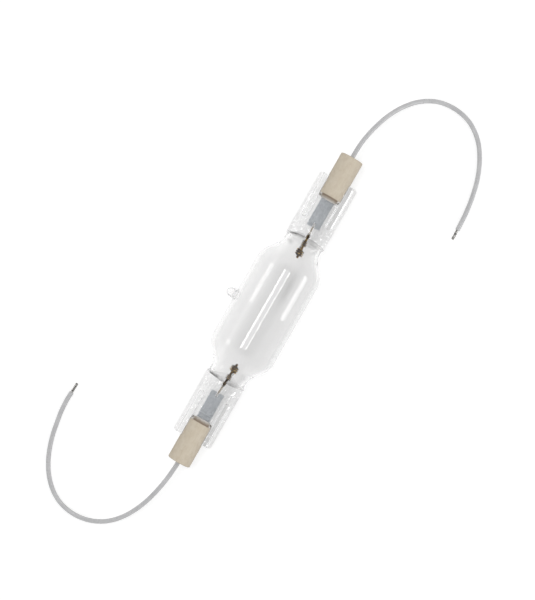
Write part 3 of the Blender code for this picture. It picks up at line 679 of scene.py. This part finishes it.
def make_nickel():
    """Bright nickel-plated copper strands, slightly tarnished."""
    material, shader = new_material("nickel", 0.28, 1.0)
    tone = ramp(
        material,
        noise_value(material, 0.7 * MM, 4.0),
        (0.4, (0.14, 0.13, 0.12)),
        (0.6, (0.86, 0.85, 0.83)),
    )
    feed(tone, shader.inputs["Base Color"])
    vary_roughness(material, shader, 0.4 * MM, 0.14, 0.3)
    bump(material, shader, noise_value(material, 0.1 * MM, 2.0), 0.01 * MM, 0.5)
    return material


def make_sheath():
    """Satin light grey sheath, slightly uneven, with faint handling marks."""
    material, shader = new_material("sheath", 0.42)
    shader.inputs["Specular IOR Level"].default_value = 0.9
    tone = ramp(
        material,
        noise_value(material, 6.0 * MM, 4.0),
        (0.3, (0.49, 0.49, 0.50)),
        (0.7, (0.57, 0.57, 0.575)),
    )
    marks = grey_ramp(material, noise_value(material, 1.2 * MM, 5.0), 0.6, 0.8, 0.0, 1.0)
    faint = remap(material, marks, 0.0, 1.0, 0.0, 0.35)
    feed(mix(material, faint, tone, (0.42, 0.42, 0.42)), shader.inputs["Base Color"])
    vary_roughness(material, shader, 2.0 * MM, 0.24, 0.36)
    bump(material, shader, noise_value(material, 0.5 * MM, 3.0), 0.03 * MM, 0.3)
    return material


def shoulder_angle():
    """Slope of the cone that joins the shoulder's round and the waist's round."""
    rounds = SHOULDER_ROUND + WAIST_ROUND
    rise = rounds - (BULB_RADIUS - WAIST_RADIUS)
    apart = math.hypot(SHOULDER_LENGTH, rise)
    return math.atan2(SHOULDER_LENGTH, rise) - math.acos(rounds / apart)


def blown_radius(x, inset=0.0):
    """Radius of the tube before its end is flattened. The inset gives the chamber inside the wall."""
    angle = shoulder_angle()
    corner = SHOULDER_ROUND - inset
    waist = WAIST_ROUND + inset
    radius = BULB_RADIUS - inset
    cone_start = CYLINDER_HALF_LENGTH + corner * math.sin(angle)
    cone_end = WAIST_X - waist * math.sin(angle)
    if x <= CYLINDER_HALF_LENGTH:
        return radius
    if x <= cone_start:
        return radius - corner + math.sqrt(corner ** 2 - (x - CYLINDER_HALF_LENGTH) ** 2)
    if x <= cone_end:
        return radius - corner * (1 - math.cos(angle)) - (x - cone_start) * math.tan(angle)
    if x <= WAIST_X:
        return WAIST_RADIUS - inset + waist - math.sqrt(waist ** 2 - (WAIST_X - x) ** 2)
    return WAIST_RADIUS - inset


def round_off(radius, x, end_x):
    """How far a rounded edge that ends at end_x has fallen at x."""
    past = max(x - (end_x - radius), 0.0)
    return radius - math.sqrt(max(radius ** 2 - past ** 2, 0.0))


def tube_size(x):
    """Half width, half height and corner radius of the tube's outside at x."""
    flat = smoothstep(FLATTENING_START_X, PINCH_EDGE_X, x)
    spread = smoothstep(WAIST_X, PINCH_EDGE_X, x)
    radius = blown_radius(x)
    half_width = radius + (PINCH_WIDTH / 2 - radius) * spread - round_off(PINCH_PLAN_CORNER, x, PINCH_END_X)
    half_height = radius + (PINCH_THICKNESS / 2 - radius) * flat
    corner = half_height + (PINCH_EDGE_ROUND - half_height) * flat
    half_height -= round_off(PINCH_END_ROUND, x, PINCH_END_X)
    return half_width, half_height, min(corner, half_height)


def rounded_section(half_width, half_height, corner, count):
    """Points (y, z) at even steps round a rounded rectangle, from the middle of its +Y side."""
    side = half_height - corner
    bend = math.pi / 2 * corner
    quarter = side + bend + half_width - corner
    points = []
    for i in range(count):
        quadrant, share = divmod(4 * i / count, 1)
        way = quarter * (1 - share if quadrant % 2 else share)
        if way <= side:
            y, z = half_width, way
        elif way <= side + bend:
            angle = (way - side) / corner
            y, z = half_width - corner + corner * math.cos(angle), side + corner * math.sin(angle)
        else:
            y, z = half_width - corner - (way - side - bend), half_height
        points.append((y if quadrant in (0, 3) else -y, z if quadrant in (0, 1) else -z))
    return points


def channel_depth(x, y):
    """Depth of the pinch's pressed channels at a point of its face, with soft walls and a round end."""
    start = PINCH_END_X - CHANNEL_LENGTH + CHANNEL_WIDTH / 2
    outside = math.hypot(min(x - start, 0.0), abs(y) - CHANNEL_Y) - CHANNEL_WIDTH / 2
    share = 0.5 - outside / (2 * CHANNEL_WALL_HALF)
    soft = CHANNEL_SOFTNESS * smoothstep(0.0, 1.0, share)
    return CHANNEL_DEPTH * (soft + (1 - CHANNEL_SOFTNESS) * min(max(share, 0.0), 1.0))


def steps_between(start, stop, step):
    count = max(round((stop - start) / step), 1)
    return [start + (stop - start) * i / count for i in range(1, count + 1)]


def bowed(away, y):
    """Distance along X at y: the fold at the pinch bows away from the bulb towards the axis."""
    near_fold = 1 - smoothstep(0.0, FOLD_REACH, abs(away - PINCH_EDGE_X))
    return away - FOLD_BOW * near_fold * (2 * y / PINCH_WIDTH) ** 2


def tube_ring(x):
    """One ring of the tube's outside."""
    away = abs(x)
    pinched = smoothstep(WAIST_X, PINCH_EDGE_X, away)
    size = tube_size(away)
    ring = []
    for y, z in rounded_section(*size, TUBE_COLUMNS):
        wave = DRAWN_WAVE * wobble(x, y, z, DRAWN_WAVE_LENGTH)
        over_foil = (1 - smoothstep(*CALM_Y, abs(y))) * smoothstep(*CALM_X, away)
        press_wave = PRESS_WAVE * (1 - CALM_OVER_FOIL * over_foil)
        wave += (press_wave * wobble(x, y, z, PRESS_WAVE_LENGTH, PRESS_SEED) - wave) * pinched
        face = smoothstep(*FACE_SHARES, abs(z) / (size[1] + TOUCH))
        depth = pinched * channel_depth(away, y) * face
        scale = 1 + wave / math.hypot(y, z) if pinched < 1 else 1.0
        height = abs(z) * scale - depth + (wave * face if pinched == 1 else 0.0)
        ring.append((math.copysign(bowed(away, y), x), y * scale, math.copysign(height, z)))
    return ring


def electrode_y(x):
    """How far the leaning electrode is off the lamp's axis at x."""
    side = "right" if x > 0 else "left"
    return SIDES[side] * (abs(x) - WELD_X) * math.tan(math.radians(LEAN_DEG[side]))


def room_radius(x):
    """Radius of the room round the electrode's shank, at a distance x from the lamp's middle."""
    closing = smoothstep(SEAL_ROOM_END_X, SEAL_ROOM_END_X + SEAL_ROOM_CLOSING, x)
    radius = SEAL_ROOM_RADIUS + (SHANK_ROOM_RADIUS - SEAL_ROOM_RADIUS) * closing
    return radius - round_off(SHANK_ROOM_RADIUS, x, SHANK_ROOM_END_X)


def chamber_ring(x):
    """One ring of the arc chamber, of its wedge at the pinch or of the room round the shank."""
    away = abs(x)
    outer_width, outer_height, outer_corner = tube_size(away)
    flat = smoothstep(FLATTENING_START_X, PINCH_EDGE_X, away)
    half_width = outer_width - BULB_WALL + (BULB_WALL - CORNER_WALL) * flat
    half_width -= round_off(CHAMBER_NOSE, away, CHAMBER_END_X)
    half_height = max(outer_height - BULB_WALL, WEDGE_HALF_HEIGHT)
    ending = max(away - (CHAMBER_END_X - CHAMBER_END_ROUND), 0.0) / CHAMBER_END_ROUND
    half_height *= math.sqrt(max(1 - ending ** 2, 0.0))
    if away >= CHAMBER_END_X:
        half_width = half_height = ROOM_SEED
    corner = min(max(outer_corner - BULB_WALL, WEDGE_HALF_HEIGHT), half_height) if flat else half_height
    middle = electrode_y(x) * smoothstep(WAIST_X, CHAMBER_END_X, away)
    room = room_radius(away) * smoothstep(*ROOM_START_X, away)
    ring = []
    for y, z in rounded_section(half_width, half_height, corner, CHAMBER_COLUMNS):
        distance = math.hypot(y, z)
        pushed = (distance ** ROOM_BLEND_POWER + room ** ROOM_BLEND_POWER) ** (1 / ROOM_BLEND_POWER)
        if away < CYLINDER_HALF_LENGTH:
            pushed += DRAWN_WAVE * wobble(x, y, z, DRAWN_WAVE_LENGTH, INNER_WALL_SEED)
        place = math.copysign(bowed(away, y), x)
        ring.append((place, middle + y * pushed / distance, z * pushed / distance))
    return ring


def stub_profile(radius, flare, height):
    """Points (distance from axis, height, share that follows the tube) from the flare to the round end."""
    points = []
    for turn in arc(90, 0, ROUND_STEPS):
        follow = math.sin(turn)
        points.append((radius + flare * (1 - math.cos(turn)), flare * (1 - follow), follow))
    for turn in arc(0, STUB_ROUND_DEG, ROUND_STEPS):
        points.append((radius * math.cos(turn), height - radius + radius * math.sin(turn), 0.0))
    return points


def add_stub(shape, rows, wall_radius, profile, columns, reach):
    """Opens the grid on its +Y side and grows the stub of the filling tube out of it."""
    count = len(rows[0])
    inside = [i for i, row in enumerate(rows) if abs(row[0].co.x - TIP_OFF_X) < reach]
    first, last = inside[0], inside[-1]
    loop = [(r, columns) for r in range(first, last)]
    loop += [(last, c) for c in range(columns, -columns, -1)]
    loop += [(r, -columns) for r in range(last, first, -1)]
    loop += [(first, c) for c in range(-columns, columns)]
    edge = [rows[r][c % count] for r, c in loop]
    lean = math.tan(math.radians(TIP_OFF_RISE_DEG))
    start_radius, end_height = profile[0][0], profile[-1][1]
    angles = [math.atan2(vert.co.z, vert.co.x - TIP_OFF_X) for vert in edge]
    rings = []
    for share in (0.25, 0.5, 0.75):
        ring = []
        for vert, angle in zip(edge, angles):
            x = (vert.co.x - TIP_OFF_X) * (1 - share) + start_radius * math.cos(angle) * share
            z = vert.co.z * (1 - share) + start_radius * math.sin(angle) * share
            ring.append((TIP_OFF_X + x, math.sqrt(wall_radius ** 2 - z ** 2), z))
        rings.append(ring)
    for radius, height, follow in profile:
        ring = []
        for angle in angles:
            z = radius * math.sin(angle)
            base = follow * math.sqrt(wall_radius ** 2 - z ** 2) + (1 - follow) * wall_radius
            ring.append((TIP_OFF_X + radius * math.cos(angle), base + height, z + lean * height))
        rings.append(ring)
    before = edge
    for ring in rings:
        after = [shape.verts.new(point) for point in ring]
        for i in range(len(after)):
            j = (i + 1) % len(after)
            shape.faces.new((before[i], before[j], after[j], after[i]))
        before = after
    top = shape.verts.new((TIP_OFF_X, wall_radius + end_height, lean * end_height))
    for i in range(len(before)):
        shape.faces.new((before[i], before[(i + 1) % len(before)], top))
    gone = []
    for r in range(first, last):
        for c in range(-columns, columns):
            corners = (rows[r][c % count], rows[r][(c + 1) % count], rows[r + 1][(c + 1) % count])
            gone.append(next(f for f in corners[0].link_faces if all(v in f.verts for v in corners)))
    bmesh.ops.delete(shape, geom=gone, context="FACES_ONLY")
    loose = [v for v in shape.verts if not v.link_faces]
    bmesh.ops.delete(shape, geom=loose, context="VERTS")


def close_end(shape, row):
    """Closes a ring that is the same above and below its middle, by strips from top to bottom."""
    half = len(row) // 2
    for i in range(half):
        corners = (row[i], row[i + 1], row[-i - 1], row[-i % len(row)])
        shape.faces.new(list(dict.fromkeys(corners)))


def closed_shell(ring_at, places, wall_radius, profile, columns, reach):
    """A closed skin along the lamp, with the filling tube's stub on it."""
    shape = bmesh.new()
    places = [-x for x in reversed(places)] + places
    rows = skin(shape, [ring_at(x) for x in places])
    for row in (rows[0], rows[-1]):
        close_end(shape, row)
    add_stub(shape, rows, wall_radius, profile, columns, reach)
    bmesh.ops.recalc_face_normals(shape, faces=shape.faces)
    return shape


def shade_lines_and_patches(x, y):
    """Share of the light that the painted shade lines and patches leave at a point."""
    x, y = x / MM, y / MM
    light = 1.0
    for middle, bow, low, high, darkness, width in SHADE_LINES["right" if x > 0 else "left"]:
        line = middle - bow * (y / SHADE_LINE_REACH) ** 2
        inside = smoothstep(low - SHADE_LINE_FADE_IN, low + SHADE_LINE_FADE_IN, y)
        inside *= 1 - smoothstep(high - SHADE_LINE_FADE_OUT, high + SHADE_LINE_FADE_OUT, y)
        light *= 1 - darkness * inside * math.exp(-((abs(x) - line) / width) ** 2)
    for smudge_x, smudge_y, length, width, darkness in SHADE_PATCHES:
        light *= 1 - darkness * math.exp(-((x - smudge_x) / length) ** 2 - ((y - smudge_y) / width) ** 2)
    return light


def quartz_painted_shade(x, y, z):
    """Painted shade of the quartz at a point: darker across -Y and in the channels, with a painted highlight
    on the channel walls, clearest in the filling tube and in the folds' corners.
    """
    away = abs(x)
    across = np.interp(y / MM, *zip(*PRESSED_PAINTED_SHADE))
    share = channel_depth(away, y) / CHANNEL_DEPTH
    deep = share * (1 - smoothstep(*CHANNEL_FLOOR_FADE, abs(abs(y) - CHANNEL_Y)))
    across += (CHANNEL_PAINTED_SHADE[int(y > 0)] - across) * deep + CHANNEL_WALL_HIGHLIGHT * (share - deep)
    blown = np.interp(y / MM, *zip(*BLOWN_PAINTED_SHADE))
    tone = blown + (across - blown) * smoothstep(*PRESSED_X, away)
    clear = math.exp(-((away - CLEAR_CORNER_X) / CLEAR_CORNER_LENGTH) ** 2)
    clear *= smoothstep(*CLEAR_CORNER_FADE, abs(y))
    if y > BULB_RADIUS / 2:
        clear = max(clear, 1 - smoothstep(*CLEAR_STUB_FADE, math.hypot(x - TIP_OFF_X, z)))
    return min((tone + (CLEAR_TONE - tone) * clear) * shade_lines_and_patches(x, y), 1.0)


def rod_crest(x):
    """Tone of the rod at a distance x from the lamp's middle: 0 under the turns of head and stem coil, where
    shade is painted near black.
    """
    head_end_x = HEAD_COIL_X + HEAD_COIL_TURNS * HEAD_COIL_PITCH
    stem_end_x = STEM_COIL_X + STEM_COIL_TURNS * STEM_COIL_PITCH
    wound = ((HEAD_COIL_X, head_end_x), (STEM_COIL_X, stem_end_x))
    covered = max(smoothstep(*WOUND_FADE, min(x - start, end - x)) for start, end in wound)
    return BARE_ROD_CREST * (1 - covered)


def wire_crest(point, side, middle_radius, wire_radius):
    """How far a point of a wound wire lies on the outside of its turn, away from the electrode's axis."""
    lean = math.radians(LEAN_DEG[side])
    x, y = point.x * SIDES[side] - WELD_X, point.y * SIDES[side]
    off_axis = math.hypot(y * math.cos(lean) - x * math.sin(lean), point.z)
    return smoothstep(*CREST_SHARES, (off_axis - middle_radius) / wire_radius)


def store(mesh, name, values):
    layer = mesh.attributes.new(name, "FLOAT", "POINT")
    layer.data.foreach_set("value", [float(value) for value in values])


def make_tube(material):
    """The quartz tube: its outside, and the arc chamber as a second skin facing inwards."""
    bulb = steps_between(-0.5 * BULB_STEP, CYLINDER_HALF_LENGTH, BULB_STEP)
    bulb += steps_between(CYLINDER_HALF_LENGTH, FLATTENING_START_X, SHOULDER_STEP)
    places = bulb + steps_between(FLATTENING_START_X, FOLD_FINE_END_X, FOLD_STEP)
    places += steps_between(FOLD_FINE_END_X, PINCH_END_X - PINCH_PLAN_CORNER, PINCH_STEP)
    for turn in arc(0, 90, 2 * ROUND_STEPS)[1:]:
        places.append(PINCH_END_X - PINCH_PLAN_CORNER * (1 - math.sin(turn)))
    profile = stub_profile(TIP_OFF_RADIUS, TIP_OFF_FLARE, TIP_OFF_HEIGHT)
    outside = closed_shell(tube_ring, places, BULB_RADIUS, profile, TIP_OFF_COLUMNS, TIP_OFF_REACH)
    rooms = bulb + steps_between(FLATTENING_START_X, WAIST_X, FOLD_STEP)
    for turn in arc(0, 90, 3 * ROUND_STEPS)[1:]:
        rooms.append(WAIST_X + (CHAMBER_END_X - WAIST_X) * math.sin(turn))
    rooms += steps_between(CHAMBER_END_X, ROOM_FINE_END_X, FOLD_STEP)
    rooms += steps_between(ROOM_FINE_END_X, SHANK_ROOM_END_X - SHANK_ROOM_RADIUS, PINCH_STEP)
    for turn in arc(0, ROOM_ROUND_DEG, ROUND_STEPS)[1:]:
        rooms.append(SHANK_ROOM_END_X - SHANK_ROOM_RADIUS * (1 - math.sin(turn)))
    bore = stub_profile(BORE_RADIUS, BORE_FLARE, BORE_HEIGHT)
    inside = closed_shell(chamber_ring, rooms, BULB_RADIUS - BULB_WALL, bore, BORE_COLUMNS, BORE_REACH)
    bmesh.ops.reverse_faces(inside, faces=inside.faces)
    mesh = bpy.data.meshes.new("tube")
    inside.to_mesh(mesh)
    inside.free()
    outside.from_mesh(mesh)
    outside.to_mesh(mesh)
    outside.free()
    mesh.shade_smooth()
    mesh.set_sharp_from_angle(angle=math.radians(ROUND_SHARP_DEG))
    # Painted shade of the quartz, stored at each vertex.
    store(mesh, QUARTZ_SHADE, [quartz_painted_shade(*vertex.co) for vertex in mesh.vertices])
    add_piece("quartz_envelope", mesh, material, "quartz_tube")


def make_rod(side, material):
    """The tungsten rod, chamfered at its tip, with its foot ground flat where it is welded on the foil."""
    start = ROD_TIP_X + ROD_CHAMFER
    profile = [(ROD_TIP_X, ROD_RADIUS - ROD_CHAMFER), (start, ROD_RADIUS)]
    profile += [(x, ROD_RADIUS) for x in steps_between(start, WELD_X - ROD_CHAMFER, ROD_STEP)]
    profile.append((WELD_X, ROD_RADIUS - ROD_CHAMFER))
    foot = FOIL_Z + FOIL_THICKNESS / 2
    rings = []
    for ring in lathe_rings(profile, ROD_STEPS):
        flat = smoothstep(FOIL_LOW[0] - ROD_FOOT_SLOPE, FOIL_LOW[0], ring[0][0])
        lowest = -ROD_RADIUS + (foot + ROD_RADIUS) * flat
        rings.append(on_electrode(side, [(x, y, max(z, lowest)) for x, y, z in ring]))
    shape = bmesh.new()
    rows = skin(shape, rings)
    for row in (rows[0], rows[-1]):
        shape.faces.new(row)
    mesh = finished_mesh(shape)
    store(mesh, CREST, [rod_crest(abs(vertex.co.x)) for vertex in mesh.vertices])
    add_piece(f"tungsten_rod_{side}", mesh, material, f"electrode_rod_{side}")


def helix(start, pitch, radius, turns, first_turn=0.0):
    points = []
    for i in range(round(turns * COIL_STEPS) + 1):
        turn = i / COIL_STEPS
        angle = 2 * math.pi * (first_turn + turn)
        points.append((start + pitch * turn, radius * math.cos(angle), radius * math.sin(angle)))
    return points


def head_path():
    """One wire wound towards the tip on the rod, then back over itself in a second layer."""
    turns, pitch = HEAD_COIL_TURNS, HEAD_COIL_PITCH
    points = helix(HEAD_COIL_X + turns * pitch, -pitch, INNER_COIL_RADIUS, turns)
    steps = round(HEAD_STEP_TURNS * COIL_STEPS)
    for i in range(1, steps):
        share = i / steps
        angle = 2 * math.pi * (turns + share * HEAD_STEP_TURNS)
        radius = INNER_COIL_RADIUS + HEAD_LAYER_STEP * share
        points.append((HEAD_COIL_X, radius * math.cos(angle), radius * math.sin(angle)))
    outer = helix(HEAD_COIL_X, pitch, INNER_COIL_RADIUS + HEAD_LAYER_STEP, turns, turns + HEAD_STEP_TURNS)
    return points + outer


def make_coils(side, material):
    stem = helix(STEM_COIL_X, STEM_COIL_PITCH, INNER_COIL_RADIUS, STEM_COIL_TURNS)
    seal = helix(SEAL_COIL_X, -SEAL_COIL_PITCH, SEAL_COIL_RADIUS, SEAL_COIL_TURNS)
    coils = (
        ("head", head_path(), WIRE_RADIUS, INNER_COIL_RADIUS + HEAD_LAYER_STEP),
        ("stem", stem, WIRE_RADIUS, INNER_COIL_RADIUS),
        ("seal", seal, SEAL_WIRE_RADIUS, SEAL_COIL_RADIUS),
    )
    for name, path, radius, middle in coils:
        shape = bmesh.new()
        add_tube(shape, on_electrode(side, path), radius, WIRE_SIDES, radius / 4)
        mesh = finished_mesh(shape, ROUND_SHARP_DEG)
        store(mesh, CREST, [wire_crest(vertex.co, side, middle, radius) for vertex in mesh.vertices])
        add_piece(f"{name}_winding_{side}", mesh, material, f"{name}_coil_{side}")


def make_foil(side, material):
    """The foil: feathered edges, fine crinkles, and a crease across the left one."""
    low, high = FOIL_LOW[0], FOIL_HIGH[0]
    half = (FOIL_HIGH[1] - FOIL_LOW[1]) / 2
    seed = 3.0 * SIDES[side]
    across = [half * math.sin(math.pi / 2 * i / FOIL_COLUMNS) for i in range(-FOIL_COLUMNS, FOIL_COLUMNS + 1)]
    rings = []
    for x in [low] + steps_between(low, high, FOIL_STEP):
        upper, lower = [], []
        off_crease = (x - FOIL_CREASE_X) / FOIL_CREASE_WIDTH
        crease = FOIL_CREASE_HEIGHT * math.exp(-off_crease ** 2) if side == "left" else 0.0
        for y in across:
            inwards = min((half - abs(y)) / FOIL_FEATHER, 1.0)
            thick = (FOIL_EDGE_THICKNESS + (FOIL_THICKNESS - FOIL_EDGE_THICKNESS) * inwards) / 2
            middle = FOIL_Z + crease + FOIL_CRINKLE * wobble(x, y, 0, FOIL_CRINKLE_LENGTH, seed)
            edge = wobble(x, 0, math.copysign(FOIL_EDGES_APART, y), FOIL_EDGE_WAVE_LENGTH, seed)
            wide = y * (1 + FOIL_EDGE_WAVE * edge)
            upper.append((x, wide, middle + thick))
            lower.append((x, wide, middle - thick))
        rings.append(at_end(side, upper + lower[::-1]))
    shape = bmesh.new()
    rows = skin(shape, rings)
    for row in (rows[0], rows[-1]):
        count = len(row)
        for i in range(count // 2 - 1):
            shape.faces.new((row[i], row[i + 1], row[count - 2 - i], row[count - 1 - i]))
    add_piece(f"molybdenum_foil_{side}", finished_mesh(shape), material, f"foil_{side}")


def make_sleeve(side, material):
    """The ceramic sleeve: a stepped bore from end to end, and a slot across its mouth for the pinch."""
    profile = []
    for turn in arc(90, 0, ROUND_STEPS):
        x = SLEEVE_END_X - SLEEVE_ROUND * (1 - math.sin(turn))
        profile.append((x, SLEEVE_RADIUS - SLEEVE_ROUND * (1 - math.cos(turn))))
    profile += [
        (SLEEVE_MOUTH_X, SLEEVE_RADIUS),
        (SLEEVE_MOUTH_X, SLEEVE_BORE_RADIUS),
        (CEMENT_END_X, SLEEVE_BORE_RADIUS),
        (CEMENT_END_X, SLEEVE_HOLE_RADIUS),
        (SLEEVE_END_X, SLEEVE_HOLE_RADIUS),
    ]
    shape = bmesh.new()
    skin(shape, lathe_rings(profile, LATHE_STEPS), closed=True)
    low = (SLEEVE_MOUTH_X - SLEEVE_RADIUS, -2 * SLEEVE_RADIUS, -SLEEVE_SLOT_HALF)
    high = (SLOT_END_X, 2 * SLEEVE_RADIUS, SLEEVE_SLOT_HALF)
    mesh = boxed_out(finished_mesh(shape), low, high, SLEEVE_EDGE)
    turn_to_side(side, mesh)
    add_piece(f"ceramic_cap_{side}", mesh, material, f"ceramic_sleeve_{side}")


def turn_to_side(side, mesh):
    for vertex in mesh.vertices:
        vertex.co.x *= SIDES[side]
        vertex.co.y *= SIDES[side]


def make_cement_piece(side, material):
    """The cement that fills the sleeve, with its uneven bead in front of the mouth."""
    inner = SLEEVE_BORE_RADIUS - TOUCH
    mouth = SLEEVE_MOUTH_X - TOUCH
    profile = [(CEMENT_END_X - TOUCH, BEAD_BORE_RADIUS), (CEMENT_END_X - TOUCH, inner), (mouth, inner)]
    for i in range(ROUND_STEPS + 1):
        share = i / ROUND_STEPS
        fall = (BEAD_MOUTH_RADIUS - BEAD_FRONT_RADIUS) * share ** BEAD_ROUNDNESS
        profile.append((mouth - BEAD_LENGTH * share, BEAD_MOUTH_RADIUS - fall))
    profile.append((mouth - BEAD_LENGTH, BEAD_BORE_RADIUS))
    shape = bmesh.new()
    skin(shape, lathe_rings(profile, LATHE_STEPS), closed=True)
    for vertex in shape.verts:
        if vertex.co.x < mouth - TOUCH:
            push = BEAD_UNEVENNESS * wobble(*vertex.co, BEAD_WAVE_LENGTH, 5.0 * SIDES[side])
            vertex.co.x += push
            vertex.co.y *= 1 + BEAD_SWELL * push / BEAD_MOUTH_RADIUS
            vertex.co.z *= 1 + BEAD_SWELL * push / BEAD_MOUTH_RADIUS
    half = PINCH_THICKNESS / 2 + TOUCH
    low = (mouth - 2 * BEAD_LENGTH, -2 * SLEEVE_RADIUS, -half)
    high = (SLOT_END_X, 2 * SLEEVE_RADIUS, half)
    mesh = boxed_out(finished_mesh(shape), low, high)
    turn_to_side(side, mesh)
    add_piece(f"cement_filling_{side}", mesh, material, f"cement_{side}")


def smooth_route(side):
    """Points close together on a smooth curve from inside the sleeve through the route's own points."""
    own = [Vector((LEAD_START_X, 0, 0))]
    own += [Vector((SLEEVE_END_X, 0, 0)) + Vector(point) for point in ROUTES[side]]
    padded = [2 * own[0] - own[1]] + own + [2 * own[-1] - own[-2]]
    fine = []
    for before, start, stop, after in zip(padded, padded[1:], padded[2:], padded[3:]):
        for i in range(ROUTE_SUBSTEPS):
            t = i / ROUTE_SUBSTEPS
            slope = (stop - before) * t
            bend = (2 * before - 5 * start + 4 * stop - after) * t ** 2
            twist = (3 * start - before - 3 * stop + after) * t ** 3
            fine.append(start + (slope + bend + twist) / 2)
    return at_end(side, fine + [own[-1]])


def make_lead(side, sheath, metal):
    """The insulated lead, and the twisted strands at its stripped end."""
    path = smooth_route(side)
    shape = bmesh.new()
    add_tube(shape, path, LEAD_RADIUS, LEAD_SIDES, LEAD_EDGE)
    mesh = finished_mesh(shape, LEAD_SHARP_DEG)
    lead = add_piece(f"lead_{side}", mesh, sheath, f"lead_cable_{side}")
    onward = Vector(path[-1] - path[-2]).normalized()
    across = onward.cross(Vector((0, 0, 1))).normalized()
    upward = across.cross(onward)
    start = Vector(path[-1]) - onward * STRAND_TUCK
    length = BARE_LENGTH + STRAND_TUCK
    shape = bmesh.new()
    for ring, strands in enumerate(STRAND_RINGS):
        lay_gain = 1 if ring == 2 else INNER_LAY_GAIN
        radius = ring * 2 * STRAND_RADIUS * STRAND_SPACING
        for k in range(strands):
            strand = []
            for i in range(STRAND_STEPS + 1):
                way = length * i / STRAND_STEPS
                angle = 2 * math.pi * (k / strands + way / STRAND_LAY * lay_gain)
                aside = (across * math.cos(angle) + upward * math.sin(angle)) * radius
                strand.append(start + onward * way + aside)
            shorter = STRAND_UNEVENNESS * (1 + wobble(ring, k, 0, STRAND_END_WAVE))
            strand[-1] -= onward * shorter
            add_tube(shape, strand, STRAND_RADIUS, STRAND_SIDES, STRAND_RADIUS / 4)
    mesh = finished_mesh(shape, ROUND_SHARP_DEG)
    tip = add_piece(f"bare_strands_{side}", mesh, metal, f"lead_tip_{side}")


def dress_node(name, material):
    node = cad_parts[name]
    node.data.materials.clear()
    node.data.materials.append(material)


def make_floor():
    """Pale floor: white to the eye, metal and glass, with the lamp's own soft shadow on it."""
    shape = bmesh.new()
    bmesh.ops.create_grid(shape, x_segments=1, y_segments=1, size=FLOOR_SIZE)
    bmesh.ops.translate(shape, vec=(0, 0, FLOOR_Z - TOUCH), verts=shape.verts)
    mesh = bpy.data.meshes.new("floor")
    shape.to_mesh(mesh)
    shape.free()
    material = bpy.data.materials.new("floor")
    material.use_nodes = True
    material.node_tree.nodes.clear()
    rays = add_node(material, "ShaderNodeLightPath").outputs
    seen = calculate(material, "MAXIMUM", rays["Is Camera Ray"], rays["Is Glossy Ray"])
    shown = calculate(material, "MAXIMUM", seen, rays["Is Transmission Ray"])
    lit = add_node(material, "ShaderNodeBsdfDiffuse", {"Color": FLOOR_SEEN})
    glow = add_node(material, "ShaderNodeEmission", {"Strength": FLOOR_GLOW})
    both = add_node(material, "ShaderNodeAddShader", {0: lit.outputs[0], 1: glow.outputs[0]})
    plain = add_node(material, "ShaderNodeBsdfDiffuse", {"Color": FLOOR_PLAIN})
    surface = blend_shaders(material, shown, plain.outputs[0], both.outputs[0])
    add_node(material, "ShaderNodeOutputMaterial", {"Surface": surface})
    mesh.materials.append(material)
    add_object("floor", mesh)


def make_world():
    """A pale studio: bright round the horizon, darker overhead, and plain white to the eye."""
    world = bpy.data.worlds.new("studio")
    bpy.context.scene.world = world
    world.use_nodes = True
    world.node_tree.nodes.clear()
    place = add_node(world, "ShaderNodeTexCoord").outputs["Generated"]
    height = add_node(world, "ShaderNodeSeparateXYZ", {0: place}).outputs["Z"]
    strength = remap(world, height, *SKY_HEIGHTS, *SKY_STRENGTHS, interpolation_type="SMOOTHSTEP")
    studio = add_node(world, "ShaderNodeBackground", {"Color": (1, 1, 1), "Strength": strength})
    white = add_node(world, "ShaderNodeBackground", {"Color": (1, 1, 1)})
    seen = add_node(world, "ShaderNodeLightPath").outputs["Is Camera Ray"]
    surface = blend_shaders(world, seen, studio.outputs[0], white.outputs[0])
    add_node(world, "ShaderNodeOutputWorld", {"Surface": surface})


def add_light(name, tilt_deg, distance, length, width, middle_x, radiance, has_streak):
    """A light parallel to the lamp. Without a streak it doesn't show in glass or metal."""
    light = bpy.data.lights.new(name, "AREA")
    light.shape = "RECTANGLE"
    light.size = length
    light.size_y = width
    light.energy = 4 * length * width * radiance
    panel = add_object(name, light)
    tilt = math.radians(tilt_deg)
    panel.location = (middle_x, -distance * math.sin(tilt), distance * math.cos(tilt))
    panel.rotation_euler = (tilt, 0, 0)
    panel.visible_camera = False
    panel.visible_glossy = has_streak
    panel.visible_transmission = has_streak


def add_camera():
    data = bpy.data.cameras.new("camera")
    data.sensor_width = SENSOR_MM
    data.lens = SENSOR_MM * CAMERA_HEIGHT / VIEW_HEIGHT
    camera = add_object("camera", data)
    camera.location = (CAMERA_X, CAMERA_Y, CAMERA_HEIGHT)
    camera.rotation_euler = (0, 0, math.radians(CAMERA_TURN_DEG))
    bpy.context.scene.camera = camera


add_camera()
quartz = make_quartz()
tungsten = make_tungsten()
molybdenum = make_molybdenum()
ceramic = make_ceramic()
cement = make_cement()
nickel = make_nickel()
sheath = make_sheath()

for side in SIDES:
    make_lead(side, sheath, nickel)
make_tube(quartz)
for side in SIDES:
    make_rod(side, tungsten)
    make_coils(side, tungsten)
    make_foil(side, molybdenum)
    make_sleeve(side, ceramic)
    make_cement_piece(side, cement)
    dress_node(f"lead_pin_{side}", molybdenum)
    dress_node(f"crimp_{side}", nickel)
    dress_node(f"conductor_end_{side}", nickel)

make_floor()
make_world()
for light in LIGHTS:
    add_light(*light)
cycles = bpy.context.scene.cycles
cycles.max_bounces = BOUNCES
cycles.transmission_bounces = BOUNCES
cycles.glossy_bounces = BOUNCES
bpy.context.scene.view_settings.view_transform = "Standard"
